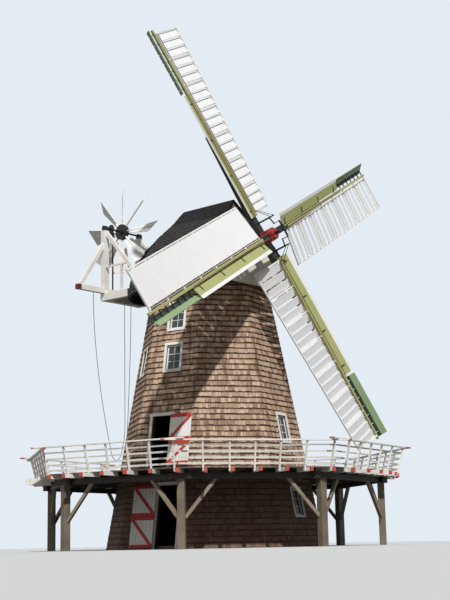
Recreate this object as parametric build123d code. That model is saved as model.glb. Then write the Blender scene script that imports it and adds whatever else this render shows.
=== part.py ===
from build123d import *
from math import atan, cos, radians, sin, sqrt, tan
import os

# Octagonal smock mill with a gallery, a turning boat cap, a fantail and four shuttered sails.
# Millimetres. Origin on the tower's axis at ground level, +Z up, the doorways in the -Y wall.
# Walls are numbered 0 to 7 anticlockwise from the door wall, seen from above.

# Tower
sides = 8
base_radius = 4150
top_radius = 2280
tower_height = 9810
wall_thick = 180
half_turn = 180 / sides
flat_share = cos(radians(half_turn))
side_slope = tan(radians(half_turn))
wall_lean = atan((base_radius - top_radius) * flat_share / tower_height)

# Floors inside the tower, given by their upper faces
floor_thick = 90
ground_floor_thick = 120
stage_level = 2640
upper_levels = [5600, 7700]

# Cutting blocks reach past the whole mill
cut_reach = 20000

# Windows: casing boards, sash and glass, set in the plane of the leaning wall
window_width = 620
window_height = 960
casing_width = 90
casing_thick = 38
sash_width = 55
sash_thick = 45
sash_set = 50
glass_thick = 6
window_places = [
    (0, 0, tower_height - 2860), (0, 20, tower_height - 1280),
    (4, 0, tower_height - 2860), (4, 0, tower_height - 1280),
    (7, 0, tower_height - 2830), (3, 0, tower_height - 2830),
    (2, 60, 4320), (2, 100, 1600), (6, 0, 4320), (6, 0, 1600),
]

# Doors: each doorway has two leaves one above the other
ground_door_left = -80
ground_door_right = 800
ground_door_top = 2230
stage_door_left = -650
stage_door_right = 160
stage_door_sill = 2900
stage_door_top = 4760
door_case_width = 110
door_case_thick = 38
leaf_thick = 45
leaf_play = 12
leaf_overlap = 45
leaf_split = 1120
leaf_foot = 30
stage_split = 3790
leaf_board = 25
ledge_width = 120
brace_width = 150
hinge_inset = 170
hinge_plate = 55
hinge_free = 6
hinge_seat = 16
hinge_barrel = 18
hinge_pin = 9
hinge_high = 70
pin_play = 0.4

# Gallery
deck_radius = 6990
deck_thick = 40
deck_play = 15
board_joint = 4
joist_wide = 90
joist_deep = 130
joist_count = 5
joist_overrun = 40
corner_beam_wide = 130
corner_beam_set = 200
ring_beam_wide = 180
ring_beam_deep = 200
ring_beam_reach = 420
post_inset = 660
post_wide = 250
brace_wide = 110
brace_deep = 120
brace_drop = 1250
brace_reach = 1180
brace_seat = 12
brace_sink = 30
baluster_wide = 60
baluster_thick = 55
baluster_inset = 18
baluster_lean = 250
baluster_drop = 20
baluster_play = 1
baluster_notch = 45
rail_top = 3574
rail_thick = 45
rail_wide = 140
rail_overrun = 480
low_rail_levels = [3340, 3135, 2930, 2745]
low_rail_high = 55
low_rail_thick = 28
low_rail_end = 25
low_rail_play = 0.3

# Cap: lengths run forward (+) and rearward (-) of the tower's axis, widths to each side
cap_yaw = 80.43
curb_radius = 2170
curb_bore = 1900
curb_thick = 110
cap_play = 0.3
cap_ring_thick = 120
roof_base = tower_height - 60
roof_skin = 90
roof_foot_drop = 20
ridge_share = 1.25
roof_half = 2700
roof_ridge = tower_height + 3500
roof_fore = 5000
roof_aft = 3600
roof_rear = -3500
# Places along the rear of the ridge, each with its rise above the tower
ridge_rises = [(-3600, 2210), (-3080, 2480), (-2600, 2680), (-2080, 2890), (-1760, 3100), (-1560, 3310)]
ridge_bend = -1300
roof_arch = [(1.0, 0.0), (0.95, 0.18), (0.85, 0.37), (0.62, 0.6), (0.31, 0.785), (0.0, 1.0)]
roof_places = [-3080, -2600, -2080, -1760, -1560, -1300, -900, -450, 0, 450, 900, 1350, 1800, 2250]
roof_fore_end = 2900
roof_seams = [-2300, -1300, 700]
front_foot = 2450
front_lean = 17.5
front_board = 60
front_drop = 100
front_set = 20
sheer_half_gap = 1000
sheer_wide = 220
sheer_deep = 300
sheer_rear = -5020
sheer_front = 1850
cross_beam_wide = 240
neck_set = 400
middle_beam = -3100
rear_beam_set = 150

# Windshaft and sails
shaft_tilt = 13.2
hub_forward = 2905
hub_height = tower_height + 1701
shaft_radius = 200
shaft_tail = -4900
shaft_nose = 470
shaft_room = 60
tail_set = 200
# Bearing blocks: half length, half width and rise above the shaft's middle
neck_block = (170, 420, 60)
tail_block = (130, 330, 50)
poll_wide = 480
poll_rear = -340
poll_front = 340
sail_turn = 29.24
stock_end = 4400
stock_wide = (280, 160)
stock_deep = (270, 150)
front_pair = 300
whip_seat = -20
whip_wide = (150, 90)
whip_deep = (140, 80)
whip_start = 900
whip_end = 8850
bay_start = 1000
bay_end = 8700
bay_count = 7
shutters_per_bay = 3
sail_width = 1600
weather_inner = 10
weather_outer = 0
bar_wide = 60
bar_deep = 60
bar_start = 30
rail_size = 55
rail_start = 100
rail_off = 45
shutter_wide = 312
shutter_thick = 26
shutter_gap = 22
shutter_open = 18
shutter_pin = 10
lever_thick = 10
lever_reach = 60
lead_width = 480
lead_lean = 22
lead_thick = 25
lead_level = 30
lead_end = 6090
strap_places = [1150, 2680, 4200, 5730]
strap_reach = 230
strap_wide = 40
strap_thick = 22
strap_foot = 35
strap_lift = 4
flap_start = 6200
flap_end = 8840
flap_width = 500
flap_thick = 25
flap_open = 45
flap_play = 5
flap_level = 40
flap_pin = 22
flap_pin_radius = 10
flap_arms = 7
lug_thick = 16
lug_play = 5

# Striking gear in front of the poll end
spider_ahead = 880
spider_reach = 340
spider_bar = 50
spider_boss_radius = 90
spider_boss_long = 120
strike_rod = 44
link_rod = 26
link_pin = 14
link_pin_past = 8
crank_reach = 610
crank_level = 560
crank_shaft = 22
crank_half = 160
crank_thick = 14
crank_wide = 50
stand_apart = 70
stand_wide = 30
stand_deep = 60
drive_reach = 280
drive_rise = 60
rod_rise = 140
rod_seat = 1110
rod_radius = 12
rod_knee = 1.3
rod_short = 60
brake_lever = 100
brake_across = 25

# Fan stage and fantail
fan_back = -4870
fan_height = tower_height + 3330
post_width = 260
post_depth = 220
outrigger_reach = 2550
outrigger_wide = 200
outrigger_deep = 200
rake_top = fan_height - 600
rake_inset = 130
rake_size = 150
bearing_foot = 130
stage_front = -3560
stay_foot = -2450
stay_size = 140
stay_head = 60
stay_sink = 60
handrail_level = tower_height + 1640
handrail_size = 60
handrail_out = 30
handrail_past = 420
rail_post_size = 90
rail_post_ahead = 900
stage_boards = 8
stage_board_thick = 35
stage_edge = 10
stage_board_play = 3
stage_play = 5
rake_sink = 60
bearing_half = 95
bearing_long = 180
axle_past = 120
fan_radius = 1800
fan_blades = 8
fan_phase = -2
fan_hub_radius = 330
fan_hub_long = 160
fan_boss_radius = 110
fan_boss_long = 320
fan_stock = 70
blade_start = 520
blade_root = 340
blade_tip = 800
blade_thick = 22
blade_pitch = -45
axle_radius = 40
bearing_play = 0.5
gear_place = -660
gear_radius = 200
gear_face = 90
gear_mesh = 1
pinion_radius = 100
drive_radius = 32

# Ropes, behind the outrigger: a loop down to the gallery and a brake rope
rope_radius = 12
rope_back = -5100
holder_level = 70
holder_past = 30
holder_wide = 50
holder_high = 40
corner_share = 0.45
loop_start = -1440
loop_sway = 960
loop_curve = 1.85
loop_steps = 18
loop_bend = 4060
loop_bottom = [(-480, 4060), (-430, 3850), (-330, 3650), (-190, 3550), (-40, 3580),
               (80, 3730), (170, 3950), (240, 4210), (300, 4500), (345, 4830)]
loop_end = 350
brake_start = 730
brake_sway = -260
brake_curve = 1.6
brake_steps = 17
brake_end = 4600


def wall_radius(level):
    return base_radius - (base_radius - top_radius) * level / tower_height


def wall_flat(level):
    return wall_radius(level) * flat_share


def block(x0, x1, y0, y1, z0, z1):
    return Pos((x0 + x1) / 2, (y0 + y1) / 2, (z0 + z1) / 2) * Box(x1 - x0, y1 - y0, z1 - z0)


def flat_face(points):
    return Face(Wire.make_polygon([Vector(*p) for p in points], close=True))


def six_sided(low, high):
    """A solid between two four-cornered rings that have the same order of corners."""
    faces = [flat_face(low), flat_face(high)]
    for i in range(4):
        j = (i + 1) % 4
        faces.append(flat_face([low[i], low[j], high[j], high[i]]))
    return Solid(Shell(faces))


def beam(start, end, wide, deep, side):
    """A squared timber between two points; side is the direction that its width follows."""
    start = Vector(*start)
    along = Vector(*end) - start
    across = Vector(*side)
    across = across - along * (across.dot(along) / along.dot(along))
    place = Plane(origin=start, x_dir=across, z_dir=along)
    return place.location * Pos(0, 0, along.length / 2) * Box(wide, deep, along.length)


def rod(start, end, radius):
    start = Vector(*start)
    along = Vector(*end) - start
    place = Plane(origin=start, z_dir=along)
    return place.location * Pos(0, 0, along.length / 2) * Cylinder(radius, along.length)


def ring_of(shapes):
    """Copies of some solids turned round the tower's axis, one set for each wall."""
    return [Rot(Z=k * 360 / sides) * s for k in range(sides) for s in shapes]


def save(name, shapes, place=None):
    solids = []
    for s in shapes:
        moved = place * s if place is not None else s
        solids.extend(moved.solids())
    for s in solids:
        if s.volume < 0:
            s.wrapped.Reverse()
    whole = solids[0] if len(solids) == 1 else Compound(children=solids)
    whole.label = name
    export_step(whole, f"parts/{name}.step")


# Tower walls

def wall_panel(low, high):
    """Wall 0 between two levels, mitred to its neighbours at both corners."""
    def corners(level):
        out_r = wall_radius(level)
        in_r = out_r - wall_thick / flat_share
        half = radians(half_turn)
        return [
            (-out_r * sin(half), -out_r * cos(half), level), (out_r * sin(half), -out_r * cos(half), level),
            (in_r * sin(half), -in_r * cos(half), level), (-in_r * sin(half), -in_r * cos(half), level),
        ]
    return six_sided(corners(low), corners(high))


def wall_plane(x, level):
    """The outer face of wall 0 at a point: X to the right, Y up the wall, Z outwards."""
    outward = (0, -cos(wall_lean), sin(wall_lean))
    return Plane(origin=(x, -wall_flat(level), level), x_dir=(1, 0, 0), z_dir=outward)


def on_wall(side, x, level):
    return Rot(Z=side * 360 / sides) * wall_plane(x, level).location


def window_hole(x, level):
    return wall_plane(x, level).location * Box(window_width, window_height, 4 * wall_thick)


def wall_with_windows(side, low=0, high=tower_height):
    panel = wall_panel(low, high)
    for place in window_places:
        if place[0] == side:
            panel = panel - window_hole(place[1], place[2])
    return Rot(Z=side * 360 / sides) * panel


def strip(panel, x0, x1):
    return panel & block(x0, x1, -2 * base_radius, 0, -100, tower_height + 100)


def make_walls():
    low = wall_panel(0, ground_door_top)
    save("door_wall_low", [
        strip(low, -base_radius, ground_door_left), strip(low, ground_door_right, base_radius),
    ])
    save("door_wall_band", [wall_panel(ground_door_top, stage_door_sill)])
    stage = wall_panel(stage_door_sill, stage_door_top)
    save("door_wall_stage", [
        strip(stage, -base_radius, stage_door_left), strip(stage, stage_door_right, base_radius),
    ])
    save("door_wall_top", [wall_with_windows(0, stage_door_top, tower_height)])
    save("plain_walls", [wall_with_windows(1), wall_with_windows(5)])
    save("two_window_walls", [wall_with_windows(2), wall_with_windows(6)])
    save("one_window_walls", [wall_with_windows(3), wall_with_windows(7)])
    save("back_wall", [wall_with_windows(4)])


def octagon(flat, low, high):
    return Pos(0, 0, low) * extrude(RegularPolygon(flat / flat_share, sides, rotation=half_turn), high - low)


def make_floors():
    def inside(level):
        return wall_flat(level) - wall_thick
    ground = octagon(inside(ground_floor_thick), 0, ground_floor_thick)
    save("floors", [ground] + [octagon(inside(z), z - floor_thick, z) for z in [stage_level] + upper_levels])
    ring = Cylinder(curb_radius, curb_thick) - Cylinder(curb_bore, 2 * curb_thick)
    save("curb_ring", [Pos(0, 0, tower_height + curb_thick / 2) * ring])


# Windows

def frame_ring(wide, high, bar, thick, height):
    """A flat frame of four bars whose underside lies at the given height off the wall face."""
    ring = Box(wide, high, thick) - Box(wide - 2 * bar, high - 2 * bar, 2 * thick)
    return Pos(0, 0, height + thick / 2) * ring


def make_windows():
    casings = []
    sashes = []
    panes = []
    for side, x, level in window_places:
        place = on_wall(side, x, level)
        outer = (window_width + 2 * casing_width, window_height + 2 * casing_width)
        casings.append(place * frame_ring(outer[0], outer[1], casing_width, casing_thick, 0))
        sash = frame_ring(window_width, window_height, sash_width, sash_thick, -sash_set - sash_thick)
        sashes.append(place * sash)
        pane = Box(window_width - 2 * sash_width, window_height - 2 * sash_width, glass_thick)
        panes.append(place * Pos(0, 0, -sash_set - sash_thick / 2) * pane)
    save("window_frames", casings + sashes)
    save("window_panes", panes)


# Doors: leaves lie just outside the casing and fold back against the wall on their left hinges

def door_case(left, right, low, top):
    """Two jamb boards and a head board on the wall face round a doorway."""
    middle = (left + right) / 2
    place = wall_plane(middle, low).location
    half = (right - left) / 2
    up = (top - low) / cos(wall_lean)
    boards = []
    for hand in (-1, 1):
        board = Box(door_case_width, up, door_case_thick)
        boards.append(place * Pos(hand * (half + door_case_width / 2), up / 2, door_case_thick / 2) * board)
    head = Box(2 * half + 2 * door_case_width + 80, door_case_width, door_case_thick)
    boards.append(place * Pos(0, up + door_case_width / 2 + 2, door_case_thick / 2) * head)
    return boards


def hinge_line(edge, hand):
    """Where a leaf turns: out from the wall face by the casing, the play and the leaf itself."""
    return edge - hand * leaf_overlap, door_case_thick + leaf_play + leaf_thick


def ledged_leaf(edge, hand, wide, low, top):
    """A leaf folded back; hand is 1 where the closed leaf lies to the right of its hinge.
    A ledge at its foot and one at its head are joined by a brace that rises from the hinge side."""
    hinge_x, out = hinge_line(edge, hand)
    place = wall_plane(hinge_x, (low + top) / 2).location * Pos(-hand * wide / 2, 0, out)
    high = (top - low) / cos(wall_lean)
    leaf = Pos(0, 0, leaf_board / 2) * Box(wide, high, leaf_board)
    ledge_place = Pos(0, 0, (leaf_board + leaf_thick) / 2)
    for level in (-(high - ledge_width) / 2, (high - ledge_width) / 2):
        leaf = leaf + ledge_place * Pos(0, level, 0) * Box(wide, ledge_width, leaf_thick - leaf_board)
    rise = high / 2 - ledge_width
    near = hand * wide / 2
    far = -hand * wide / 2
    slant = make_face(Polyline((near, -rise), (near - hand * brace_width, -rise), (far, rise),
                               (far + hand * brace_width, rise), close=True))
    leaf = leaf + Pos(0, 0, leaf_board) * extrude(slant, leaf_thick - leaf_board)
    return place * leaf


def hinge_parts(edge, hand, low, top):
    """Pintles on the jamb board, the leaf's barrels that sit on them, and the room both need."""
    hinge_x, out = hinge_line(edge, hand)
    pintles = []
    barrels = []
    rooms = []
    for level in (low + hinge_inset, top - hinge_inset):
        line = wall_plane(hinge_x, level).location * Pos(0, 0, out) * Rot(X=-90)
        plate = Box(hinge_plate - hinge_free, hinge_seat, out - hinge_free - door_case_thick)
        plate_place = Pos(-hand * (hinge_plate + hinge_free) / 2, 0, (door_case_thick + out - hinge_free) / 2)
        pin_place = line * Pos(0, 0, (hinge_seat + hinge_high) / 2)
        pintle = wall_plane(hinge_x, level).location * plate_place * plate
        pintle = pintle + line * Cylinder(hinge_barrel, hinge_seat)
        pintle = pintle + pin_place * Cylinder(hinge_pin, hinge_high)
        pintles.append(pintle)
        sleeve = Cylinder(hinge_barrel, hinge_high) - Cylinder(hinge_pin + pin_play, 2 * hinge_high)
        barrels.append(pin_place * Pos(0, 0, pin_play) * sleeve)
        rooms.append(pin_place * Pos(0, 0, pin_play) * Cylinder(hinge_barrel - 1, hinge_high))
        rooms.append(line * Cylinder(hinge_barrel + hinge_free, hinge_seat + 2 * hinge_free))
    return pintles, barrels, rooms


def hung_leaf(edge, hand, wide, low, top):
    leaf = ledged_leaf(edge, hand, wide, low, top)
    pintles, barrels, rooms = hinge_parts(edge, hand, low, top)
    for s in rooms:
        leaf = leaf - s
    for s in barrels:
        leaf = leaf + s
    return leaf, pintles


def make_doors():
    cases = door_case(ground_door_left, ground_door_right, 0, ground_door_top)
    cases += door_case(stage_door_left, stage_door_right, stage_door_sill, stage_door_top)
    save("door_casings", cases)
    pins = []
    openings = [
        ("lower_door_leaf", "upper_door_leaf", ground_door_left, 1, ground_door_right - ground_door_left,
         leaf_foot, leaf_split, ground_door_top),
        ("stage_low_leaf", "stage_high_leaf", stage_door_right, -1, stage_door_right - stage_door_left,
         stage_door_sill + leaf_foot, stage_split, stage_door_top),
    ]
    for low_name, high_name, edge, hand, gap, foot, split, top in openings:
        wide = gap + 2 * leaf_overlap
        leaf, pintles = hung_leaf(edge, hand, wide, foot, split)
        save(low_name, [leaf])
        pins.extend(pintles)
        leaf, pintles = hung_leaf(edge, hand, wide, split + leaf_play, top)
        save(high_name, [leaf])
        pins.extend(pintles)
    save("door_hinges", pins)


# Gallery

joist_top = stage_level - deck_thick
joist_bottom = joist_top - joist_deep
joist_reach = deck_radius + joist_overrun
ring_top = joist_bottom
post_top = ring_top - ring_beam_deep
post_radius = deck_radius - post_inset
baluster_foot = deck_radius * flat_share - baluster_inset
baluster_head = baluster_foot + baluster_lean


def joist_angles():
    """The joists run out from the tower's axis at even angles between the corner beams."""
    pitch = 2 * half_turn / (joist_count + 1)
    return [(i + 1) * pitch - half_turn for i in range(joist_count)]


def side_length(flat):
    return 2 * flat * side_slope


def joist(angle, wide):
    """A timber along a radius of wall 0: its inner end lies on the leaning wall."""
    timber = block(-wide / 2, wide / 2, -joist_reach, -wall_radius(joist_bottom) + corner_beam_set,
                   joist_bottom, joist_top)
    return Rot(Z=angle) * timber - tower_block()


def tower_block():
    """The tower as one closed solid, for trimming what meets its corners."""
    def ring(level):
        r = wall_radius(level)
        return Pos(0, 0, level) * RegularPolygon(r, sides, rotation=half_turn)
    return loft([ring(0), ring(tower_height)])


def make_gallery_frame():
    save("gallery_joists", ring_of([joist(angle, joist_wide) for angle in joist_angles()]))
    save("corner_beams", ring_of([joist(half_turn, corner_beam_wide)]))

    # Ring beams lie on the posts; every second one is notched over its neighbours at the corners
    flat = post_radius * flat_share
    half = side_length(flat) / 2
    beam_box = block(-half - ring_beam_reach, half + ring_beam_reach, -flat - ring_beam_wide / 2,
                     -flat + ring_beam_wide / 2, post_top, ring_top)
    even = []
    odd = []
    for k in range(0, sides, 2):
        even.append(Rot(Z=k * 360 / sides) * beam_box)
        odd.append(Rot(Z=(k + 1) * 360 / sides) * beam_box)
    cut = []
    for b in odd:
        for e in even:
            b = b - e
        cut.extend(b.solids())
    save("ring_beams", even + cut)

    post = Pos(0, -post_radius, post_top / 2) * Box(post_wide, post_wide, post_top)
    save("gallery_posts", ring_of([Rot(Z=half_turn) * post]))

    corner_at = Vector(half, -flat, 0)
    braces = []
    for hand in (-1, 1):
        foot = (hand * (corner_at.X - post_wide / 2 + brace_seat), -flat, post_top - brace_drop)
        head = (hand * (corner_at.X - brace_reach), -flat, post_top + brace_sink)
        timber = beam(foot, head, brace_deep, brace_wide, (0, 1, 0))
        timber = timber & block(-half, half, -cut_reach, 0, 0, post_top)
        for turn in (-half_turn, half_turn):
            timber = timber - Rot(Z=turn) * post
        braces.extend(timber.solids())
    save("gallery_braces", ring_of(braces))


def deck_side():
    """One of eight deck pieces: boards along its side with the joints of the mitres left open."""
    inner = wall_flat(stage_level - deck_thick) + deck_play
    outer = deck_radius * flat_share
    gap = board_joint / 2 / sin(radians(half_turn))

    def corner_x(flat):
        return (flat - gap) * side_slope
    outline = [(-corner_x(inner), -inner), (corner_x(inner), -inner),
               (corner_x(outer), -outer), (-corner_x(outer), -outer)]
    face = make_face(Polyline(*outline, close=True))
    return Pos(0, 0, stage_level - deck_thick) * extrude(face, deck_thick)


def baluster_places(slope):
    """Angle, place across and depth to the inner edge of wall 0's balusters, one beside each timber."""
    places = []
    for angle, wide in [(a, joist_wide) for a in joist_angles()] + [(half_turn, corner_beam_wide)]:
        a = radians(angle)
        deep = baluster_wide / 2 * sqrt(cos(a) ** 2 + slope ** 2) + baluster_thick / 2 * abs(sin(a))
        places.append((angle, -(wide + baluster_thick) / 2, deep))
    return places


def baluster(angle, across, deep, top, rail_face, slope, foot):
    """A leaning baluster on the flank of its joist, its inner edge in the plane of the low rails."""
    a = radians(angle)

    def reach(z):
        return (rail_face + slope * (z - foot) + deep + across * sin(a)) / cos(a)
    low = foot - baluster_wide
    high = top + baluster_wide
    ends = (across, -reach(low), low), (across, -reach(high), high)
    timber = beam(*ends, baluster_thick, baluster_wide, (1, 0, 0))
    timber = timber & block(across - baluster_wide, across + baluster_wide, -2 * deck_radius, 0, foot, top)
    return Rot(Z=angle) * timber


def make_railing():
    foot = joist_bottom + baluster_drop
    slope = baluster_lean / (rail_top - rail_thick - foot)
    rail_face = baluster_foot - baluster_wide / 2
    lean = Vector(0, -slope, 1).normalized()
    inside = Vector(0, 1, slope).normalized()
    notched = deck_side()
    for angle, across, deep in baluster_places(slope):
        half = baluster_thick / 2 + baluster_play
        notch = block(across - half, across + half, -2 * deck_radius, -baluster_foot / cos(radians(angle))
                      + baluster_notch, 0, 2 * stage_level)
        notched = notched - Rot(Z=angle) * notch

    posts = []
    decks = []
    rails = []
    for k in range(sides):
        turn = Rot(Z=k * 360 / sides)
        # The top rails cross at the corners, every second one above its neighbours
        level = rail_top if k % 2 == 0 else rail_top - rail_thick
        for angle, across, deep in baluster_places(slope):
            top = rail_top - 2 * rail_thick if angle == half_turn else level - rail_thick
            posts.append(turn * baluster(angle, across, deep, top, rail_face, slope, foot))
        decks.extend((turn * notched).solids())
        half = side_length(baluster_head) / 2 + rail_overrun
        rails.append(turn * block(-half, half, -baluster_head - rail_wide / 2, -baluster_head + rail_wide / 2,
                                  level - rail_thick, level))
        for z in low_rail_levels:
            face = Vector(0, -rail_face - slope * (z - foot), z)
            middle = face + inside * (low_rail_thick / 2 + low_rail_play)
            length = side_length(-middle.Y - low_rail_thick) / 2 - low_rail_end
            ends = (-length, middle.Y, middle.Z), (length, middle.Y, middle.Z)
            rails.append(turn * beam(*ends, low_rail_high, low_rail_thick, (lean.X, lean.Y, lean.Z)))
    save("gallery_deck", decks)
    save("balusters", posts)
    save("gallery_rails", rails)


# Cap. Its own axes: X forward to the sails, Y to the left, Z up; turned by the yaw when saved

cap_place = Rot(Z=cap_yaw - 90)


def roof_width(forward):
    """Half the width of the cap at its foot: half an ellipse, longer to the front than to the rear."""
    reach = roof_fore if forward > 0 else roof_aft
    return roof_half * sqrt(1 - (forward / reach) ** 2)


def roof_height(forward):
    """The ridge runs level from the front and falls in a hollow line behind the bend."""
    rear = [(at, tower_height + rise) for at, rise in ridge_rises]
    line = rear + [(ridge_bend, roof_ridge), (roof_fore_end, roof_ridge)]
    for (u0, z0), (u1, z1) in zip(line, line[1:]):
        if u0 <= forward <= u1:
            return z0 + (z1 - z0) * (forward - u0) / (u1 - u0)
    return roof_ridge


def roof_section(forward, inset):
    """A pointed arch across the cap: two curved flanks that meet in the ridge."""
    foot_level = roof_base - (roof_foot_drop if inset else 0)
    half = roof_width(forward) - inset
    rise = roof_height(forward) - inset * ridge_share - foot_level
    left = [(forward, half * w, foot_level + rise * z) for w, z in roof_arch]
    right = [(x, -y, z) for x, y, z in reversed(left)]
    foot = Line(right[-1], left[0])
    return Wire([Spline(*left), Spline(*right), foot])


def roof_hull(inset):
    places = [roof_rear + inset] + roof_places + [roof_fore_end + inset]
    return Solid(Solid.make_loft([roof_section(x, inset) for x in places], ruled=True).wrapped)


def front_plane():
    lean = radians(front_lean)
    ahead = (cos(lean), 0, sin(lean))
    return Plane(origin=(front_foot, 0, roof_base - front_drop), x_dir=(0, 1, 0), z_dir=ahead)


def shaft_plane():
    tilt = radians(shaft_tilt)
    return Plane(origin=(hub_forward, 0, hub_height), x_dir=(0, 1, 0), z_dir=(cos(tilt), 0, sin(tilt)))


def stay(hand):
    """A raking timber from the head of a fan post forward and down to its sheer beam."""
    top = (fan_back + stay_head, hand * sheer_half_gap, fan_height - bearing_foot - stay_head)
    foot = (stay_foot, hand * sheer_half_gap, sheer_top - stay_sink)
    timber = beam(top, foot, stay_size, stay_size, (0, 1, 0))
    timber = timber & block(-cut_reach, cut_reach, -cut_reach, cut_reach, sheer_top, cut_reach)
    front = fan_back + post_depth / 2
    return timber - block(-cut_reach, front, -cut_reach, cut_reach, 0, cut_reach)


sheer_bottom = tower_height + curb_thick + cap_play + cap_ring_thick
sheer_top = sheer_bottom + sheer_deep


def sheer(hand):
    y = hand * sheer_half_gap
    return block(sheer_rear, sheer_front, y - sheer_wide / 2, y + sheer_wide / 2, sheer_bottom, sheer_top)


def make_cap():
    front = front_plane()
    outer = roof_hull(0)
    cutter = front.location * Pos(0, 0, cut_reach / 2) * Box(2 * cut_reach, 2 * cut_reach, cut_reach)
    skin = outer - cutter
    skin = skin - roof_hull(roof_skin)
    for hand in (-1, 1):
        skin = skin - sheer(hand)
        skin = skin - stay(hand)
    skin = max(skin.solids(), key=lambda s: s.volume)
    panels = []
    edges = [2 * roof_rear] + roof_seams + [2 * roof_fore]
    for i in range(len(edges) - 1):
        for y0, y1 in ((-2 * roof_half, 0), (0, 2 * roof_half)):
            panel = skin & block(edges[i], edges[i + 1], y0, y1, 0, 2 * roof_ridge)
            panels.append(max(panel.solids(), key=lambda s: s.volume))
    save("cap_roof", panels, cap_place)

    inner = roof_hull(roof_skin)
    slab = front.location * Pos(0, 0, -front_board / 2 - front_set) * Box(cut_reach, cut_reach, front_board)
    wall = inner & slab
    tube = shaft_plane().location * Cylinder(shaft_radius + shaft_room, cut_reach)
    wall = wall - tube
    save("front_wall", [max(wall.solids(), key=lambda s: s.volume)], cap_place)

    ring = Cylinder(curb_radius, cap_ring_thick) - Cylinder(curb_bore, 2 * cap_ring_thick)
    save("cap_ring", [Pos(0, 0, sheer_bottom - cap_ring_thick / 2) * ring], cap_place)

    # Sheers, the beam under the neck bearing, and the beam under the tail bearing
    gap = sheer_half_gap - sheer_wide / 2
    timbers = [sheer(-1), sheer(1)]
    for x in (sheer_front - neck_set, shaft_end_forward(), middle_beam, sheer_rear + rear_beam_set):
        timber = Pos(x, 0, (sheer_bottom + sheer_top) / 2) * Box(cross_beam_wide, 2 * gap, sheer_deep)
        timbers.append(timber)
    clear = shaft_plane().location * Cylinder(shaft_radius + bearing_play, cut_reach)
    save("cap_beams", [t - clear for t in timbers], cap_place)

    neck_at = sheer_front - neck_set
    along = (neck_at - hub_forward) / cos(radians(shaft_tilt))
    neck_z = hub_height + along * sin(radians(shaft_tilt))
    neck_half, neck_wide, neck_rise = neck_block
    neck = block(neck_at - neck_half, neck_at + neck_half, -neck_wide, neck_wide, sheer_top,
                 neck_z + neck_rise) - clear
    tail_at = shaft_end_forward()
    tail_z = hub_height + (shaft_tail + tail_set) * sin(radians(shaft_tilt))
    tail_half, tail_wide, tail_rise = tail_block
    tail = block(tail_at - tail_half, tail_at + tail_half, -tail_wide, tail_wide, sheer_top,
                 tail_z + tail_rise) - clear
    save("shaft_bearings", [max(neck.solids(), key=lambda s: s.volume),
                            max(tail.solids(), key=lambda s: s.volume)], cap_place)


def shaft_end_forward():
    return hub_forward + (shaft_tail + tail_set) * cos(radians(shaft_tilt))


# Fan stage

def make_fan_stage():
    foot = sheer_top + outrigger_deep
    timber = block(fan_back - outrigger_wide / 2, fan_back + outrigger_wide / 2,
                   -outrigger_reach, outrigger_reach, sheer_top, foot)
    save("outrigger", [timber], cap_place)

    gap = sheer_half_gap - sheer_wide / 2
    boards = []
    width = (2 * gap - 2 * stage_edge) / stage_boards
    for i in range(stage_boards):
        y = -gap + stage_edge + i * width
        boards.append(block(fan_back + outrigger_wide / 2 + stage_play, stage_front, y + stage_board_play,
                            y + width - stage_board_play, sheer_top, sheer_top + stage_board_thick))
    save("fan_stage_floor", boards, cap_place)

    posts = []
    rakes = []
    stays = []
    for hand in (-1, 1):
        y = hand * sheer_half_gap
        posts.append(block(fan_back - post_depth / 2, fan_back + post_depth / 2,
                           y - post_width / 2, y + post_width / 2, foot, fan_height - bearing_foot))
        rake_foot = (fan_back, hand * (outrigger_reach - rake_inset), foot - rake_sink)
        rake = beam(rake_foot, (fan_back, y, rake_top), rake_size, rake_size, (1, 0, 0))
        rake = rake & block(-cut_reach, cut_reach, -cut_reach, cut_reach, foot, cut_reach)
        face = y + hand * post_width / 2
        outside = sorted((face, hand * cut_reach))
        rake = rake & block(-cut_reach, cut_reach, *outside, 0, cut_reach)
        rakes.append(rake)
        stays.append(stay(hand))
    save("fan_posts", posts, cap_place)
    save("fan_stays", rakes + stays, cap_place)

    rails = []
    for hand in (-1, 1):
        y = hand * (sheer_half_gap + handrail_out)
        x0 = fan_back + post_depth / 2
        stand = x0 + rail_post_ahead
        half = rail_post_size / 2
        rails.append(block(stand - half, stand + half, y - half, y + half, sheer_top,
                           handrail_level - handrail_size / 2))
        rails.append(block(x0, stand + handrail_past, y - handrail_size / 2, y + handrail_size / 2,
                           handrail_level - handrail_size / 2, handrail_level + handrail_size / 2))
    rails[1] = rails[1] - stay(-1)
    rails[3] = rails[3] - stay(1)
    save("stage_rails", rails, cap_place)

    # Pillow blocks on the posts carry the axle of the fan
    axle = Pos(fan_back, 0, fan_height) * Rot(X=90) * Cylinder(axle_radius + bearing_play, 4 * sheer_half_gap)
    blocks = []
    for hand in (-1, 1):
        y = hand * sheer_half_gap
        body = Box(2 * bearing_half, bearing_long, bearing_foot)
        body = Pos(fan_back, y, fan_height - bearing_foot / 2) * body
        dome = Pos(fan_back, y, fan_height) * Rot(X=90) * Cylinder(bearing_half, bearing_long)
        blocks.append(body + dome - axle)
    save("fan_bearings", blocks, cap_place)

    # The drive: a bevel pinion under the axle's wheel, on an upright shaft that stands on the outrigger
    pinion_y = gear_place + pinion_radius
    low = fan_height - gear_radius - gear_mesh
    shaft = Pos(fan_back, pinion_y, (foot + low) / 2) * Cylinder(drive_radius, low - foot)
    share = gear_face / gear_radius
    cone = Cone(pinion_radius, pinion_radius * (1 - share), gear_face)
    pinion = Pos(fan_back, pinion_y, low + gear_face / 2) * cone
    save("drive_shaft", [shaft + pinion], cap_place)


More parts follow.
